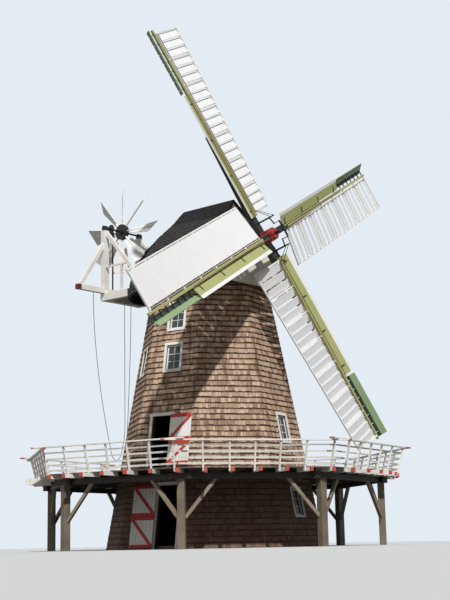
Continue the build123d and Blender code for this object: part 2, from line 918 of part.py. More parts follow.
def blade(angle):
    """One vane: boards on a stock, set at the pitch across the plane of the fan."""
    root = [(blade_start, -blade_root / 2), (fan_radius, -blade_tip / 2), (fan_radius, blade_tip / 2),
            (blade_start, blade_root / 2)]
    face = make_face(Polyline(*root, close=True))
    board = Pos(0, 0, -blade_thick / 2) * extrude(face, blade_thick)
    return fan_arm(angle) * Rot(X=blade_pitch) * board


def fan_arm(angle):
    """Axes of one arm of the fan: X outwards in the fan's plane, Z along the axle."""
    turned = Pos(fan_back, 0, fan_height) * Rot(X=90) * Rot(Z=angle)
    return turned


def make_fantail():
    disc = Pos(fan_back, 0, fan_height) * Rot(X=90) * Cylinder(fan_hub_radius, fan_hub_long)
    hub = disc + Pos(fan_back, 0, fan_height) * Rot(X=90) * Cylinder(fan_boss_radius, fan_boss_long)
    axle = Pos(fan_back, 0, fan_height) * Rot(X=90) * Cylinder(axle_radius, 2 * (sheer_half_gap + axle_past))
    share = gear_face / gear_radius
    deep = pinion_radius * share
    cone = Cone(gear_radius, gear_radius * (1 - share), deep)
    wheel = Pos(fan_back, gear_place + deep / 2, fan_height) * Rot(X=-90) * cone
    save("fan_hub", [hub + axle + wheel], cap_place)
    stocks = []
    blades = []
    for k in range(fan_blades):
        angle = fan_phase + k * 360 / fan_blades
        arm = fan_arm(angle)
        stock = arm * Pos((fan_hub_radius + fan_radius) / 2 - 60, 0, 0) * Rot(X=blade_pitch) * \
            Box(fan_radius - fan_hub_radius - 60, fan_stock, fan_stock) - disc
        vane = blade(angle) - stock
        stocks.append(stock)
        blades.extend(vane.solids())
    save("fan_stocks", stocks, cap_place)
    save("fan_vanes", blades, cap_place)


# Sails. Rotor axes: X to the left of the cap, Y up the sail's plane, Z along the shaft to the front.
# An arm is built pointing along Y with its shutters on +X and its leading board on -X.

rotor_place = cap_place * shaft_plane().location


def arm_level(k):
    """The second pair of sails lies in front of the first, as the stocks cross."""
    return front_pair * (k % 2)


def arm_place(k):
    return rotor_place * Rot(Z=sail_turn + 360 / 4 * k) * Pos(0, 0, arm_level(k))


def weather(r):
    share = (r - bay_start) / (bay_end - bay_start)
    return radians(weather_inner + (weather_outer - weather_inner) * share)


def sail_point(r, across, off=0):
    """A point of the twisted sail: r from the shaft, across from the whip, off from its surface."""
    a = weather(r)
    return (across * cos(a) + off * sin(a), r, -across * sin(a) + off * cos(a))


def save_arms(name, shapes):
    save(name, [arm_place(k) * s for k in range(4) for s in shapes])


def make_windshaft():
    """The shaft with its poll end, a cast box that both stocks pass through."""
    core = Pos(0, 0, (shaft_nose + shaft_tail) / 2) * Cylinder(shaft_radius, shaft_nose - shaft_tail)
    core = core + Pos(0, 0, (poll_front + poll_rear) / 2) * Box(poll_wide, poll_wide, poll_front - poll_rear)
    for k in range(2):
        core = core - Rot(Z=90 * k) * Pos(0, 0, arm_level(k)) * stock_solid()
    save("windshaft", [core], rotor_place * Rot(Z=sail_turn))


def tapered(y0, y1, wide, top, deep):
    """A timber along the arm between two places: its widths at both, its upper face and its depths."""
    low = [(-wide[0] / 2, y0, top - deep[0]), (wide[0] / 2, y0, top - deep[0]),
           (wide[0] / 2, y0, top), (-wide[0] / 2, y0, top)]
    high = [(-wide[1] / 2, y1, top - deep[1]), (wide[1] / 2, y1, top - deep[1]),
            (wide[1] / 2, y1, top), (-wide[1] / 2, y1, top)]
    return six_sided(low, high)


def stock_solid():
    """One stock carries two opposite sails, thickest where it passes through the poll end."""
    half = tapered(0, stock_end, stock_wide, whip_seat, stock_deep)
    return half + Rot(Z=180) * half


def whip_solid():
    low = [(-whip_wide[0] / 2, whip_start, whip_seat), (whip_wide[0] / 2, whip_start, whip_seat),
           (whip_wide[0] / 2, whip_start, whip_seat + whip_deep[0]),
           (-whip_wide[0] / 2, whip_start, whip_seat + whip_deep[0])]
    high = [(-whip_wide[1] / 2, whip_end, whip_seat), (whip_wide[1] / 2, whip_end, whip_seat),
            (whip_wide[1] / 2, whip_end, whip_seat + whip_deep[1]),
            (-whip_wide[1] / 2, whip_end, whip_seat + whip_deep[1])]
    return six_sided(low, high)


def bay_places():
    return [bay_start + (bay_end - bay_start) * i / bay_count for i in range(bay_count + 1)]


def sail_frame():
    """Bars across the whip at each bay and the rails that carry the shutters' pins."""
    whip = whip_solid()
    frame = []
    for r in bay_places():
        ends = sail_point(r, bar_start, rail_off), sail_point(r, sail_width, rail_off)
        bar = beam(*ends, bar_wide, bar_deep, (0, 1, 0))
        frame.append(bar - whip)
    for i in range(bay_count):
        r0 = bay_places()[i] + bar_wide / 2
        r1 = bay_places()[i + 1] - bar_wide / 2
        a = weather((r0 + r1) / 2)
        for across in (rail_start + rail_size / 2, sail_width - rail_size / 2):
            ends = sail_point(r0, across, rail_off), sail_point(r1, across, rail_off)
            frame.append(beam(*ends, rail_size, rail_size, (cos(a), 0, -sin(a))))
    return frame


def shutters():
    """Shutters that stand open on their pins, each with a lever that the sail's rod moves."""
    panels = []
    places = bay_places()
    start = rail_start + rail_size
    end = sail_width - rail_size
    middle = (start + end) / 2
    board = Box(end - start - 2 * shutter_gap, shutter_thick, shutter_wide)
    pins = Rot(Y=90) * Cylinder(shutter_pin, end - start - 2 * pin_play)
    lever_at = -(end - start) / 2 + shutter_gap / 2
    lever = Pos(lever_at, -lever_reach / 2, 0) * Box(lever_thick, lever_reach, 2 * shutter_pin)
    for i in range(bay_count):
        clear = places[i + 1] - places[i] - bar_wide
        for j in range(shutters_per_bay):
            r = places[i] + bar_wide / 2 + (j + 0.5) * clear / shutters_per_bay
            a = weather(r)
            place = Plane(origin=sail_point(r, middle, rail_off), x_dir=(cos(a), 0, -sin(a)), z_dir=(0, 1, 0))
            panels.append(place.location * (Rot(X=-shutter_open) * board + pins + lever))
    return panels


def lead_plane():
    """Axes of a leading board: X outwards from the whip's side, Z along it."""
    lean = radians(lead_lean)
    origin = (-whip_wide[0] / 2 - lead_thick, 0, lead_level)
    return Plane(origin=origin, x_dir=(-cos(lean), 0, sin(lean)), z_dir=(0, 1, 0))


def leading_board():
    place = lead_plane()
    length = lead_end - whip_start
    board = Box(lead_width, lead_thick, length)
    return [place.location * Pos(lead_width / 2, 0, whip_start + length / 2) * board]


def lead_straps():
    """Iron straps on the windward face of the leading board, each with a foot against the whip's side."""
    lean = radians(lead_lean)
    origin = lead_plane()
    straps = []
    for r in strap_places:
        bar = Box(strap_reach, strap_thick, strap_wide)
        strap = Pos(strap_reach / 2, (lead_thick + strap_thick) / 2, r) * bar
        low = lead_level + lead_thick / 4
        foot = block(-whip_wide[0] / 2 - strap_foot, 0, r - strap_wide / 2, r + strap_wide / 2, low,
                     low + strap_thick + strap_lift)
        piece = origin.location * strap + foot - whip_solid() - leading_board()[0]
        straps.append(min(piece.solids(), key=lambda s: s.center().X))
    return straps


def flap_axis():
    return -(whip_wide[0] / 2 + flap_play + flap_width / 2), flap_level


def arm_spots():
    """Places along the whip of the irons that carry an air brake's pin."""
    length = flap_end - flap_start
    return [flap_start + length * (i + 0.5) / flap_arms for i in range(flap_arms)]


def flap_solid():
    """An air brake standing open: a board that turns about a pin along its middle."""
    x, z = flap_axis()
    lean = radians(flap_open)
    place = Plane(origin=(x, 0, z), x_dir=(-cos(lean), 0, sin(lean)), z_dir=(0, 1, 0)).location
    length = flap_end - flap_start
    middle = Pos(0, 0, flap_start + length / 2)
    board = middle * (Box(flap_width, flap_thick, length) + Cylinder(flap_pin, length))
    notch = Box(flap_width, 4 * flap_pin, lug_thick + 2 * lug_play)
    for r in arm_spots():
        board = board - Pos(flap_pin + lug_play - flap_width / 2, 0, r) * notch
    board = board - middle * Cylinder(flap_pin_radius + pin_play, 2 * length)
    return place * max(board.solids(), key=lambda s: s.volume)


def flap_comb():
    """The pin of an air brake on its row of irons from the whip's side."""
    x, z = flap_axis()
    length = flap_end - flap_start
    comb = Pos(x, flap_start + length / 2, z) * Rot(X=90) * Cylinder(flap_pin_radius, length)
    for r in arm_spots():
        eye = Pos(x, r, z) * Rot(X=90) * Cylinder(flap_pin, lug_thick)
        arm = block(x, 0, r - lug_thick / 2, r + lug_thick / 2, z - flap_pin, z + flap_pin)
        comb = comb + eye + arm
    comb = comb - whip_solid()
    return [min(comb.solids(), key=lambda s: s.center().X)]


def crank_stands(level):
    """Two cheeks on the face of the stock that carry the cross shaft in front of it."""
    z0 = crank_level - level
    stands = []
    for x in (-stand_apart, stand_apart):
        stand = block(x - stand_wide / 2, x + stand_wide / 2,
                      crank_reach - stand_deep / 2, crank_reach + stand_deep / 2, whip_seat, z0)
        stand = stand + Pos(x, crank_reach, z0) * Rot(Y=90) * Cylinder(stand_deep / 2, stand_wide)
        bore = Cylinder(crank_shaft + pin_play, 2 * crank_half)
        stands.append(stand - Pos(x, crank_reach, z0) * Rot(Y=90) * bore)
    return stands


def make_sails():
    make_windshaft()
    turned = rotor_place * Rot(Z=sail_turn)
    save("stocks", [turned * Rot(Z=90 * k) * Pos(0, 0, arm_level(k)) * stock_solid() for k in range(2)])
    save_arms("whips", [whip_solid()])
    save_arms("sail_frames", sail_frame())
    save_arms("shutters", shutters())
    save_arms("leading_boards", leading_board())
    irons = lead_straps() + flap_comb()
    save("sail_irons", [arm_place(k) * s for k in range(4) for s in irons + crank_stands(arm_level(k))])
    flap = flap_solid()
    for k in range(4):
        save(f"air_brake_{k + 1}", [arm_place(k) * flap])


def spider_arm():
    reach = Pos(0, spider_reach / 2, spider_ahead) * Box(spider_bar, spider_reach, spider_bar)
    return reach + Pos(0, spider_reach, spider_ahead) * Rot(Y=90) * Cylinder(spider_bar / 2, spider_bar)


def lever(x, start, end):
    """A flat lever square to the cross shaft between two points of its arm's middle plane."""
    y0, z0 = start
    y1, z1 = end
    length = sqrt((y1 - y0) ** 2 + (z1 - z0) ** 2)
    along = (0, (y1 - y0) / length, (z1 - z0) / length)
    place = Plane(origin=(x, y0, z0), x_dir=(1, 0, 0), z_dir=along).location
    plate = Pos(0, 0, length / 2) * Box(crank_thick, crank_wide, length)
    ends = Cylinder(crank_wide / 2, crank_thick)
    return place * plate + Pos(x, y0, z0) * Rot(Y=90) * ends + Pos(x, y1, z1) * Rot(Y=90) * ends


def make_striking_gear():
    # The spider on the nose of the striking rod has an arm for each sail
    body = Pos(0, 0, (shaft_nose + spider_ahead) / 2) * Cylinder(strike_rod, spider_ahead - shaft_nose)
    body = body + Pos(0, 0, spider_ahead) * Cylinder(spider_boss_radius, spider_boss_long)
    for k in range(4):
        body = body + Rot(Z=90 * k) * spider_arm()
    save("spider", [body], rotor_place * Rot(Z=sail_turn))

    shafts, links, rods = [], [], []
    for k in range(4):
        cranks, link, pair = crank_gear(arm_level(k))
        shafts.append(arm_place(k) * cranks)
        links.append(arm_place(k) * link)
        rods.extend(arm_place(k) * r for r in pair)
    save("cross_shafts", shafts)
    save("links", links)
    save("sail_rods", rods)


def crank_gear(level):
    """A sail's cross shaft with its levers, the link from the spider and the two rods that it moves."""
    # The rod of a sail passes close beside the shutters' levers, at their ends
    rod_across = rail_start + rail_size + (shutter_gap - lever_thick) / 2 - rod_radius - pin_play
    rod_off = rail_off + lever_reach - rod_radius
    lever_side = rod_radius + crank_thick / 2 + pin_play

    # A bell crank: one arm reaches in to the spider's link, the others stand out to the rods
    pivot = (crank_reach, crank_level - level)
    drive = (pivot[0] - drive_reach, pivot[1] + drive_rise)
    head = (pivot[0], pivot[1] + rod_rise)
    shaft = Pos(0, *pivot) * Rot(Y=90) * Cylinder(crank_shaft, 2 * crank_half)
    shaft = shaft + lever(0, pivot, drive)
    shaft = shaft + lever(rod_across - lever_side, pivot, head)
    shaft = shaft + lever(-brake_lever, pivot, head)

    far = (spider_reach, spider_ahead - level)
    plates = []
    for hand in (-1, 1):
        x = hand * (spider_bar / 2 + link_rod / 2)
        plates.append(beam((x, *far), (x, *drive), link_rod, link_rod, (1, 0, 0)))
    pin = Pos(0, *drive) * Rot(Y=90) * Cylinder(link_pin, spider_bar + 2 * (link_rod + link_pin_past))
    link = plates[0] + plates[1] + pin - lever(0, pivot, drive)

    # One rod runs up each sail past the shutters' levers and another to its air brake
    start = (rod_across, *head)
    first = sail_point(rod_seat, rod_across, rod_off)
    last = sail_point(bay_end - bar_wide, rod_across, rod_off)
    knee = rod_radius * rod_knee
    on_whip = whip_seat + whip_deep[0] + knee
    pull_start = (-brake_lever + lever_side, *head)
    pull_bend = (-brake_across, rod_seat, on_whip)
    pull_end = (-brake_across, flap_start - rod_short, on_whip)
    ball = Rot(Y=90) * Sphere(knee)
    pair = [rod(start, first, rod_radius) + Pos(*first) * ball + rod(first, last, rod_radius),
            rod(pull_start, pull_bend, rod_radius) + Pos(*pull_bend) * ball
            + rod(pull_bend, pull_end, rod_radius)]
    return shaft, link, pair


# Ropes that hang from iron holders behind the outrigger, given by their places across and up

def tangent_path(points):
    """Straight runs joined by tangent arcs as wide as the runs at each corner allow."""
    radii = []
    for i in range(1, len(points) - 1):
        back = points[i] - points[i - 1]
        ahead = points[i + 1] - points[i]
        turn = radians(back.get_angle(ahead))
        radii.append(corner_share * min(back.length, ahead.length) / tan(turn / 2))
    return FilletPolyline(*points, radius=radii)


def rope_along(places):
    points = [Vector(rope_back, w, z) for w, z in places]
    path = tangent_path(points)
    return sweep(Plane(origin=points[0], z_dir=points[1] - points[0]) * Circle(rope_radius), path=path)


def make_ropes():
    low = sheer_top + holder_level
    start = low - pin_play
    loop = [(loop_start, start)]
    for i in range(1, loop_steps):
        share = i / loop_steps
        loop.append((loop_start + loop_sway * share ** loop_curve, start - share * (start - loop_bend)))
    loop.extend(loop_bottom)
    loop.append((loop_end, start))
    save("winding_rope", [rope_along(loop)], cap_place)

    brake = []
    for i in range(brake_steps + 1):
        share = i / brake_steps
        brake.append((brake_start + brake_sway * share ** brake_curve, start - share * (start - brake_end)))
    save("brake_rope", [rope_along(brake)], cap_place)

    holders = []
    for w in (loop_start, loop_end, brake_start):
        holders.append(block(rope_back - holder_past, fan_back - outrigger_wide / 2,
                             w - holder_wide / 2, w + holder_wide / 2,
                             low, low + holder_high))
    save("rope_holders", holders, cap_place)


def main():
    os.makedirs("parts", exist_ok=True)
    make_walls()
    make_floors()
    make_windows()
    make_doors()
    make_gallery_frame()
    make_railing()
    make_cap()
    make_fan_stage()
    make_fantail()
    make_sails()
    make_striking_gear()
    make_ropes()


main()
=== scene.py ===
import math
import bpy
import numpy as np
from mathutils import Matrix, Vector


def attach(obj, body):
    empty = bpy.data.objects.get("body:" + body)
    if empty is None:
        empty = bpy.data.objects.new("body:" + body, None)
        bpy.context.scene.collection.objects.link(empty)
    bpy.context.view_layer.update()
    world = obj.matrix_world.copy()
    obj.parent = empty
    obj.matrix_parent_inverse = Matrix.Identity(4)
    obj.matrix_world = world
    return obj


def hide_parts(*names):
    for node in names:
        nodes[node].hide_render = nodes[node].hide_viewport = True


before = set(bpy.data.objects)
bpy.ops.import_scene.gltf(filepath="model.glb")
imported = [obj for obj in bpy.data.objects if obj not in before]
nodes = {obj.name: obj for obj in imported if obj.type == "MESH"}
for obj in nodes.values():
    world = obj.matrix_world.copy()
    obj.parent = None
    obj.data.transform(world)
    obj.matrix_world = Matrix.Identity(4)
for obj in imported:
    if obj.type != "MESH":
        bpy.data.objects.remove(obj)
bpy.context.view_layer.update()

# Looks of an octagonal smock mill: shingles, boards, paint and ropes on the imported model.
# Metres; the origin is on the tower's axis at ground level and the doorways face -Y.
rng = np.random.default_rng(7)
print("frame loaded")

# Sizes shared with the construction
mill = {
    "sides": 8,
    "baseRadius": 4.15,
    "topRadius": 2.28,
    "towerHeight": 9.81,
    "capYaw": 80.43,
    "shaftTilt": 13.2,
    "hubForward": 2.905,
    "hubHeight": 11.511,
    "sailTurn": 29.24,
    "frontPair": 0.3,
}
halfTurn = math.pi / mill["sides"]
flatShare = math.cos(halfTurn)
wallLean = math.atan((mill["baseRadius"] - mill["topRadius"]) * flatShare / mill["towerHeight"])


# Points turned about the Z axis: x and y mix by the angle's cosine and sine.
def turnedZ(points, angle):
    c, s = math.cos(angle), math.sin(angle)
    turn = np.array([[c, s, 0], [-s, c, 0], [0, 0, 1]])
    return points @ turn


# From the cap's axes, X forward to the sails and Z up, to the mill's.
def capPoints(points):
    return turnedZ(points, math.radians(mill["capYaw"] - 90))


# From one arm's axes, Y up the whip and Z to the front, to the mill's: a turn in the sails'
# plane, the tilt of the windshaft, the place of the hub, then the cap's yaw.
def sailPoints(points, arm):
    turn = math.radians(mill["sailTurn"] + 90 * arm)
    across = turnedZ(points + [0, 0, mill["frontPair"] * (arm % 2)], turn)
    tilt = math.radians(mill["shaftTilt"])
    forward = -across[:, 1] * math.sin(tilt) + across[:, 2] * math.cos(tilt)
    upward = across[:, 1] * math.cos(tilt) + across[:, 2] * math.sin(tilt)
    placed = np.stack([mill["hubForward"] + forward, across[:, 0], mill["hubHeight"] + upward], 1)
    return capPoints(placed)


# From a wall's own axes, X along it, Y up its slope and Z outwards, to the mill's.
def wallPoints(points, side):
    s, c = math.sin(wallLean), math.cos(wallLean)
    flat = mill["baseRadius"] * flatShare
    x, y, z = points[:, 0], points[:, 1], points[:, 2]
    placed = np.stack([x, -flat + y * s - z * c, y * c + z * s], 1)
    return turnedZ(placed, side * 2 * halfTurn)


# The way up a wall's slope to a level.
def slopeLevel(level):
    return level / math.cos(wallLean)


# An object that is in the scene.
def newObject(name, data):
    made = bpy.data.objects.new(name, data)
    bpy.context.scene.collection.objects.link(made)
    return made


# Camera: its heading is counter-clockwise from +Y, in degrees as pitch and roll are

camera = {
    "place": (25.02, -40.08, 0.15),
    "heading": 31.25,
    "pitch": 11.2,
    "roll": -1.12,
    "lens": 73.86,
    "sensor": 36,
    "farEnd": 500,
}


# Its axes are those of a level camera at the heading, raised by the pitch and turned by the roll.
def makeCamera():
    data = bpy.data.cameras.new("camera")
    data.lens = camera["lens"]
    data.sensor_width = camera["sensor"]
    data.clip_end = camera["farEnd"]
    eye = newObject("camera", data)
    eye.location = camera["place"]
    heading, pitch, roll = (math.radians(camera[key]) for key in ("heading", "pitch", "roll"))
    level = math.cos(pitch)
    ahead = np.array([-math.sin(heading) * level, math.cos(heading) * level, math.sin(pitch)])
    right = np.array([math.cos(heading), math.sin(heading), 0])
    up = np.cross(right, ahead)
    c, s = math.cos(roll), math.sin(roll)
    turn = np.stack([right * c + up * s, up * c - right * s, -ahead], 1)
    eye.rotation_mode = "QUATERNION"
    eye.rotation_quaternion = Matrix(turn.tolist()).to_quaternion()
    bpy.context.scene.camera = eye


makeCamera()
print("camera set")

# Materials


# A node group with named sockets, and the sockets at its two ends.
def newGroup(name, inputs, outputs):
    group = bpy.data.node_groups.new(name, "ShaderNodeTree")
    for socket, kind, value in inputs:
        made = group.interface.new_socket(name=socket, in_out="INPUT", socket_type=kind)
        made.default_value = value
    for socket, kind in outputs:
        group.interface.new_socket(name=socket, in_out="OUTPUT", socket_type=kind)
    start, end = addNode(group, "NodeGroupInput"), addNode(group, "NodeGroupOutput")
    return group, start.outputs, end.inputs


# A node with its settings; in_Some_Name sets the socket called Some Name.
def addNode(tree, kind, **values):
    node = tree.nodes.new(kind)
    for key, value in values.items():
        if key.startswith("in_"):
            node.inputs[key.removeprefix("in_").replace("_", " ")].default_value = value
        else:
            setattr(node, key, value)
    return node


# A socket takes either another node's output or a plain value.
def feed(tree, source, socket):
    if hasattr(source, "is_output"):
        tree.links.new(source, socket)
    else:
        socket.default_value = source


# The first output in use of a node whose inputs in use are fed in order: some kinds of node have
# sockets for every kind of value, and their settings say which are in use.
def outputOf(tree, kind, *sources, **values):
    node = addNode(tree, kind, **values)
    for socket, source in zip([s for s in node.inputs if s.enabled], sources):
        feed(tree, source, socket)
    return next(s for s in node.outputs if s.enabled)


# The first colour at a factor of 0, the second at 1.
def mixColours(tree, factor, first, second):
    return outputOf(tree, "ShaderNodeMix", factor, first, second, data_type="RGBA")


def mathNode(tree, operation, *sources, clamp=False):
    return outputOf(tree, "ShaderNodeMath", *sources, operation=operation, use_clamp=clamp)


def vectorMath(tree, operation, *sources):
    return outputOf(tree, "ShaderNodeVectorMath", *sources, operation=operation)


# 0 below the low value, 1 above the high one, straight between them.
def ramp(tree, value, low, high):
    return outputOf(tree, "ShaderNodeMapRange", value, low, high)


def noise(tree, place, scale, detail):
    return outputOf(tree, "ShaderNodeTexNoise", place, scale, detail)


# Where a point is in the object's own coordinates.
def ownPlace(tree):
    return addNode(tree, "ShaderNodeTexCoord").outputs["Object"]


# Roughness is its least value and its swing
wearLook = {
    "broadScale": 1.3,
    "fineScale": 14.0,
    "patch": (0.45, 0.75),
    "roughness": (0.5, 0.3),
}


# The colour times one plus the fine noise's swing, mixed with dirt where the broad noise is high.
def makeWeathering():
    group, start, end = newGroup("weathering", [
        ("Colour", "NodeSocketColor", (0.8, 0.8, 0.8, 1)),
        ("Dirt Colour", "NodeSocketColor", (0.3, 0.26, 0.2, 1)),
        ("Dirt", "NodeSocketFloat", 0.3),
        ("Grain", "NodeSocketFloat", 0.2),
        ("Scale", "NodeSocketFloat", 1.0),
        ("Stretch", "NodeSocketVector", (6.0, 6.0, 0.6)),
    ], [("Colour", "NodeSocketColor"), ("Roughness", "NodeSocketFloat"), ("Height", "NodeSocketFloat")])
    scaled = vectorMath(group, "SCALE", ownPlace(group), start["Scale"])
    stretched = vectorMath(group, "MULTIPLY", scaled, start["Stretch"])
    broad = noise(group, scaled, wearLook["broadScale"], 4.0)
    fine = noise(group, stretched, wearLook["fineScale"], 5.0)
    patch = ramp(group, broad, *wearLook["patch"])
    grain = mathNode(group, "SUBTRACT", fine, 0.5)
    bright = mathNode(group, "MULTIPLY_ADD", grain, start["Grain"], 1.0)
    shade = vectorMath(group, "SCALE", start["Colour"], bright)
    dirty = mathNode(group, "MULTIPLY", patch, start["Dirt"])
    dirty = mathNode(group, "MULTIPLY", fine, dirty, clamp=True)
    least, swing = wearLook["roughness"]
    group.links.new(mixColours(group, dirty, shade, start["Dirt Colour"]), end["Colour"])
    group.links.new(mathNode(group, "MULTIPLY_ADD", fine, swing, least), end["Roughness"])
    group.links.new(fine, end["Height"])
    return group


courseLook = {
    "unevenScale": 9.0,
    "uneven": 0.24,
    "sharpness": 9.0,
    "streakScale": 1.6,
    "streak": (0.53, 0.68),
    "streakDepth": 0.7,
}


# Painted shadow where a shingle's share plus a noise passes the start, just under the butt above;
# weather in streaks of a noise drawn out downwards; and painted shade below the gallery's level.
def makeCourseShadeAndStreaks():
    group, start, end = newGroup("courseShadeAndStreaks", [
        ("Colour", "NodeSocketColor", (0.5, 0.4, 0.3, 1)),
        ("Shade Colour", "NodeSocketColor", (0.08, 0.04, 0.02, 1)),
        ("Share", "NodeSocketFloat", 0.0),
        ("Start", "NodeSocketFloat", 0.72),
        ("Streak Scale", "NodeSocketVector", (2.2, 2.2, 0.16)),
        ("Stain Level", "NodeSocketFloat", 2.4),
        ("Stain", "NodeSocketFloat", 0.0),
    ], [("Colour", "NodeSocketColor")])
    place = ownPlace(group)
    rough = noise(group, place, courseLook["unevenScale"], 3.0)
    uneven = courseLook["uneven"]
    # Painted shadow: the top of each shingle's front, under the butt above, and its other faces
    shifted = mathNode(group, "MULTIPLY_ADD", rough, uneven, start["Share"])
    shifted = mathNode(group, "SUBTRACT", shifted, uneven / 2)
    above = mathNode(group, "SUBTRACT", shifted, start["Start"])
    factor = mathNode(group, "MULTIPLY", above, courseLook["sharpness"], clamp=True)
    # Weather runs down in long streaks, and the shingles below the gallery get painted shade
    drawn = vectorMath(group, "MULTIPLY", place, start["Streak Scale"])
    streak = noise(group, drawn, courseLook["streakScale"], 3.0)
    running = ramp(group, streak, *courseLook["streak"])
    running = mathNode(group, "MULTIPLY", running, courseLook["streakDepth"])
    level = vectorMath(group, "DOT_PRODUCT", place, (0, 0, 1))
    below = mathNode(group, "LESS_THAN", level, start["Stain Level"])
    below = mathNode(group, "MULTIPLY", below, start["Stain"])
    factor = mathNode(group, "MAXIMUM", factor, running)
    factor = mathNode(group, "MAXIMUM", factor, below)
    group.links.new(mixColours(group, factor, start["Colour"], start["Shade Colour"]), end["Colour"])
    return group


# Dark joints between boards: a sawtooth of the place across them, one tooth to a board.
def makeBoarding():
    group, start, end = newGroup("boarding", [
        ("Colour", "NodeSocketColor", (0.8, 0.8, 0.8, 1)),
        ("Joint Colour", "NodeSocketColor", (0.1, 0.09, 0.08, 1)),
        ("Across", "NodeSocketVector", (1.0, 0.0, 0.0)),
        ("Board", "NodeSocketFloat", 0.15),
        ("Joint", "NodeSocketFloat", 0.04),
    ], [("Colour", "NodeSocketColor")])
    along = vectorMath(group, "DOT_PRODUCT", ownPlace(group), start["Across"])
    tooth = mathNode(group, "FRACT", mathNode(group, "DIVIDE", along, start["Board"]))
    joint = mathNode(group, "LESS_THAN", tooth, start["Joint"])
    group.links.new(mixColours(group, joint, start["Colour"], start["Joint Colour"]), end["Colour"])
    return group


weathering = makeWeathering()
courseShadeAndStreaks = makeCourseShadeAndStreaks()
boarding = makeBoarding()


# The outputs of a weathering node that takes a colour or a socket.
def wornColour(tree, colour, dirt=0.3, dirtColour=(0.3, 0.26, 0.2), grain=0.2, scale=1.0,
               stretch=(6, 6, 0.6)):
    worn = addNode(tree, "ShaderNodeGroup", node_tree=weathering, in_Dirt=dirt,
                   in_Dirt_Colour=(*dirtColour, 1), in_Grain=grain, in_Scale=scale, in_Stretch=stretch)
    feed(tree, (*colour, 1) if isinstance(colour, tuple) else colour, worn.inputs["Colour"])
    return worn.outputs


reliefDepth = 0.01


# A new material with its tree, its shader's sockets and the height that its bump waits for.
def bareMaterial(name, bump, metallic=0.0):
    material = bpy.data.materials.new(name)
    material.use_nodes = True
    tree = material.node_tree
    shader = tree.nodes["Principled BSDF"].inputs
    shader["Metallic"].default_value = metallic
    relief = addNode(tree, "ShaderNodeBump", in_Strength=bump, in_Distance=reliefDepth)
    feed(tree, relief.outputs[0], shader["Normal"])
    return material, tree, shader, relief.inputs["Height"]


# A material whose colour comes from the weathering group. Options vary it by each block's own tone,
# paint shingles with shadow under the butt above and shade below the gallery, or draw board joints.
def finish(name, colour, bump=0.15, metallic=0.0, toneColour=None, roughness=None, board=None,
           across=(1, 0, 0), shadeColour=None, shadeStart=0.72, galleryShade=0.0, **wear):
    material, tree, shader, relief = bareMaterial(name, bump, metallic)
    source = colour
    if toneColour:
        tone = addNode(tree, "ShaderNodeAttribute", attribute_name="tone").outputs["Fac"]
        source = mixColours(tree, tone, (*colour, 1), (*toneColour, 1))
    worn = wornColour(tree, source, **wear)
    colour = worn["Colour"]
    if shadeColour:
        share = addNode(tree, "ShaderNodeAttribute", attribute_name="share").outputs["Fac"]
        colour = outputOf(tree, "ShaderNodeGroup", colour, (*shadeColour, 1), share,
                          node_tree=courseShadeAndStreaks, in_Start=shadeStart, in_Stain=galleryShade)
    if board:
        colour = outputOf(tree, "ShaderNodeGroup", colour, node_tree=boarding, in_Board=board,
                          in_Across=across)
    feed(tree, colour, shader["Base Color"])
    feed(tree, worn["Height"], relief)
    feed(tree, worn["Roughness"] if roughness is None else roughness, shader["Roughness"])
    return material


# 1 where the object's own coordinates lie beyond a plane, 0 before it: their dot product with its
# normal against the plane's.
def beyondPlane(tree, origin, direction):
    along = vectorMath(tree, "DOT_PRODUCT", ownPlace(tree), tuple(direction))
    return mathNode(tree, "GREATER_THAN", along, float(np.dot(origin, direction)))


# 1 farther than a radius from the tower's axis, 0 nearer: the length of x and y.
def beyondRadius(tree, radius):
    flat = vectorMath(tree, "MULTIPLY", ownPlace(tree), (1, 1, 0))
    return mathNode(tree, "GREATER_THAN", vectorMath(tree, "LENGTH", flat), radius)


# Two worn colours on one piece, divided by a mask of its own coordinates; the first may be boarded.
def twoFinish(name, mask, near, far, bump=0.2, roughness=0.6, board=None):
    material, tree, shader, relief = bareMaterial(name, bump)
    first = wornColour(tree, **near)
    second = wornColour(tree, **far)
    plain = first["Colour"]
    if board:
        plain = outputOf(tree, "ShaderNodeGroup", plain, node_tree=boarding, in_Board=board)
    feed(tree, mixColours(tree, mask(tree), plain, second["Colour"]), shader["Base Color"])
    feed(tree, first["Height"], relief)
    feed(tree, roughness, shader["Roughness"])
    return material


glass = {
    "dark": (0.02, 0.03, 0.035),
    "pale": (0.07, 0.09, 0.1),
    "rippleScale": 5.0,
    "roughness": 0.12,
    "gloss": 0.2,
    "bump": 0.08,
}


# Dark panes, paler by a broad noise that also ripples them.
def glassFinish():
    material, tree, shader, relief = bareMaterial("windowGlass", glass["bump"])
    ripple = noise(tree, ownPlace(tree), glass["rippleScale"], 2.0)
    tint = mixColours(tree, ripple, (*glass["dark"], 1), (*glass["pale"], 1))
    feed(tree, tint, shader["Base Color"])
    feed(tree, ripple, relief)
    feed(tree, glass["roughness"], shader["Roughness"])
    feed(tree, glass["gloss"], shader["Specular IOR Level"])
    return material


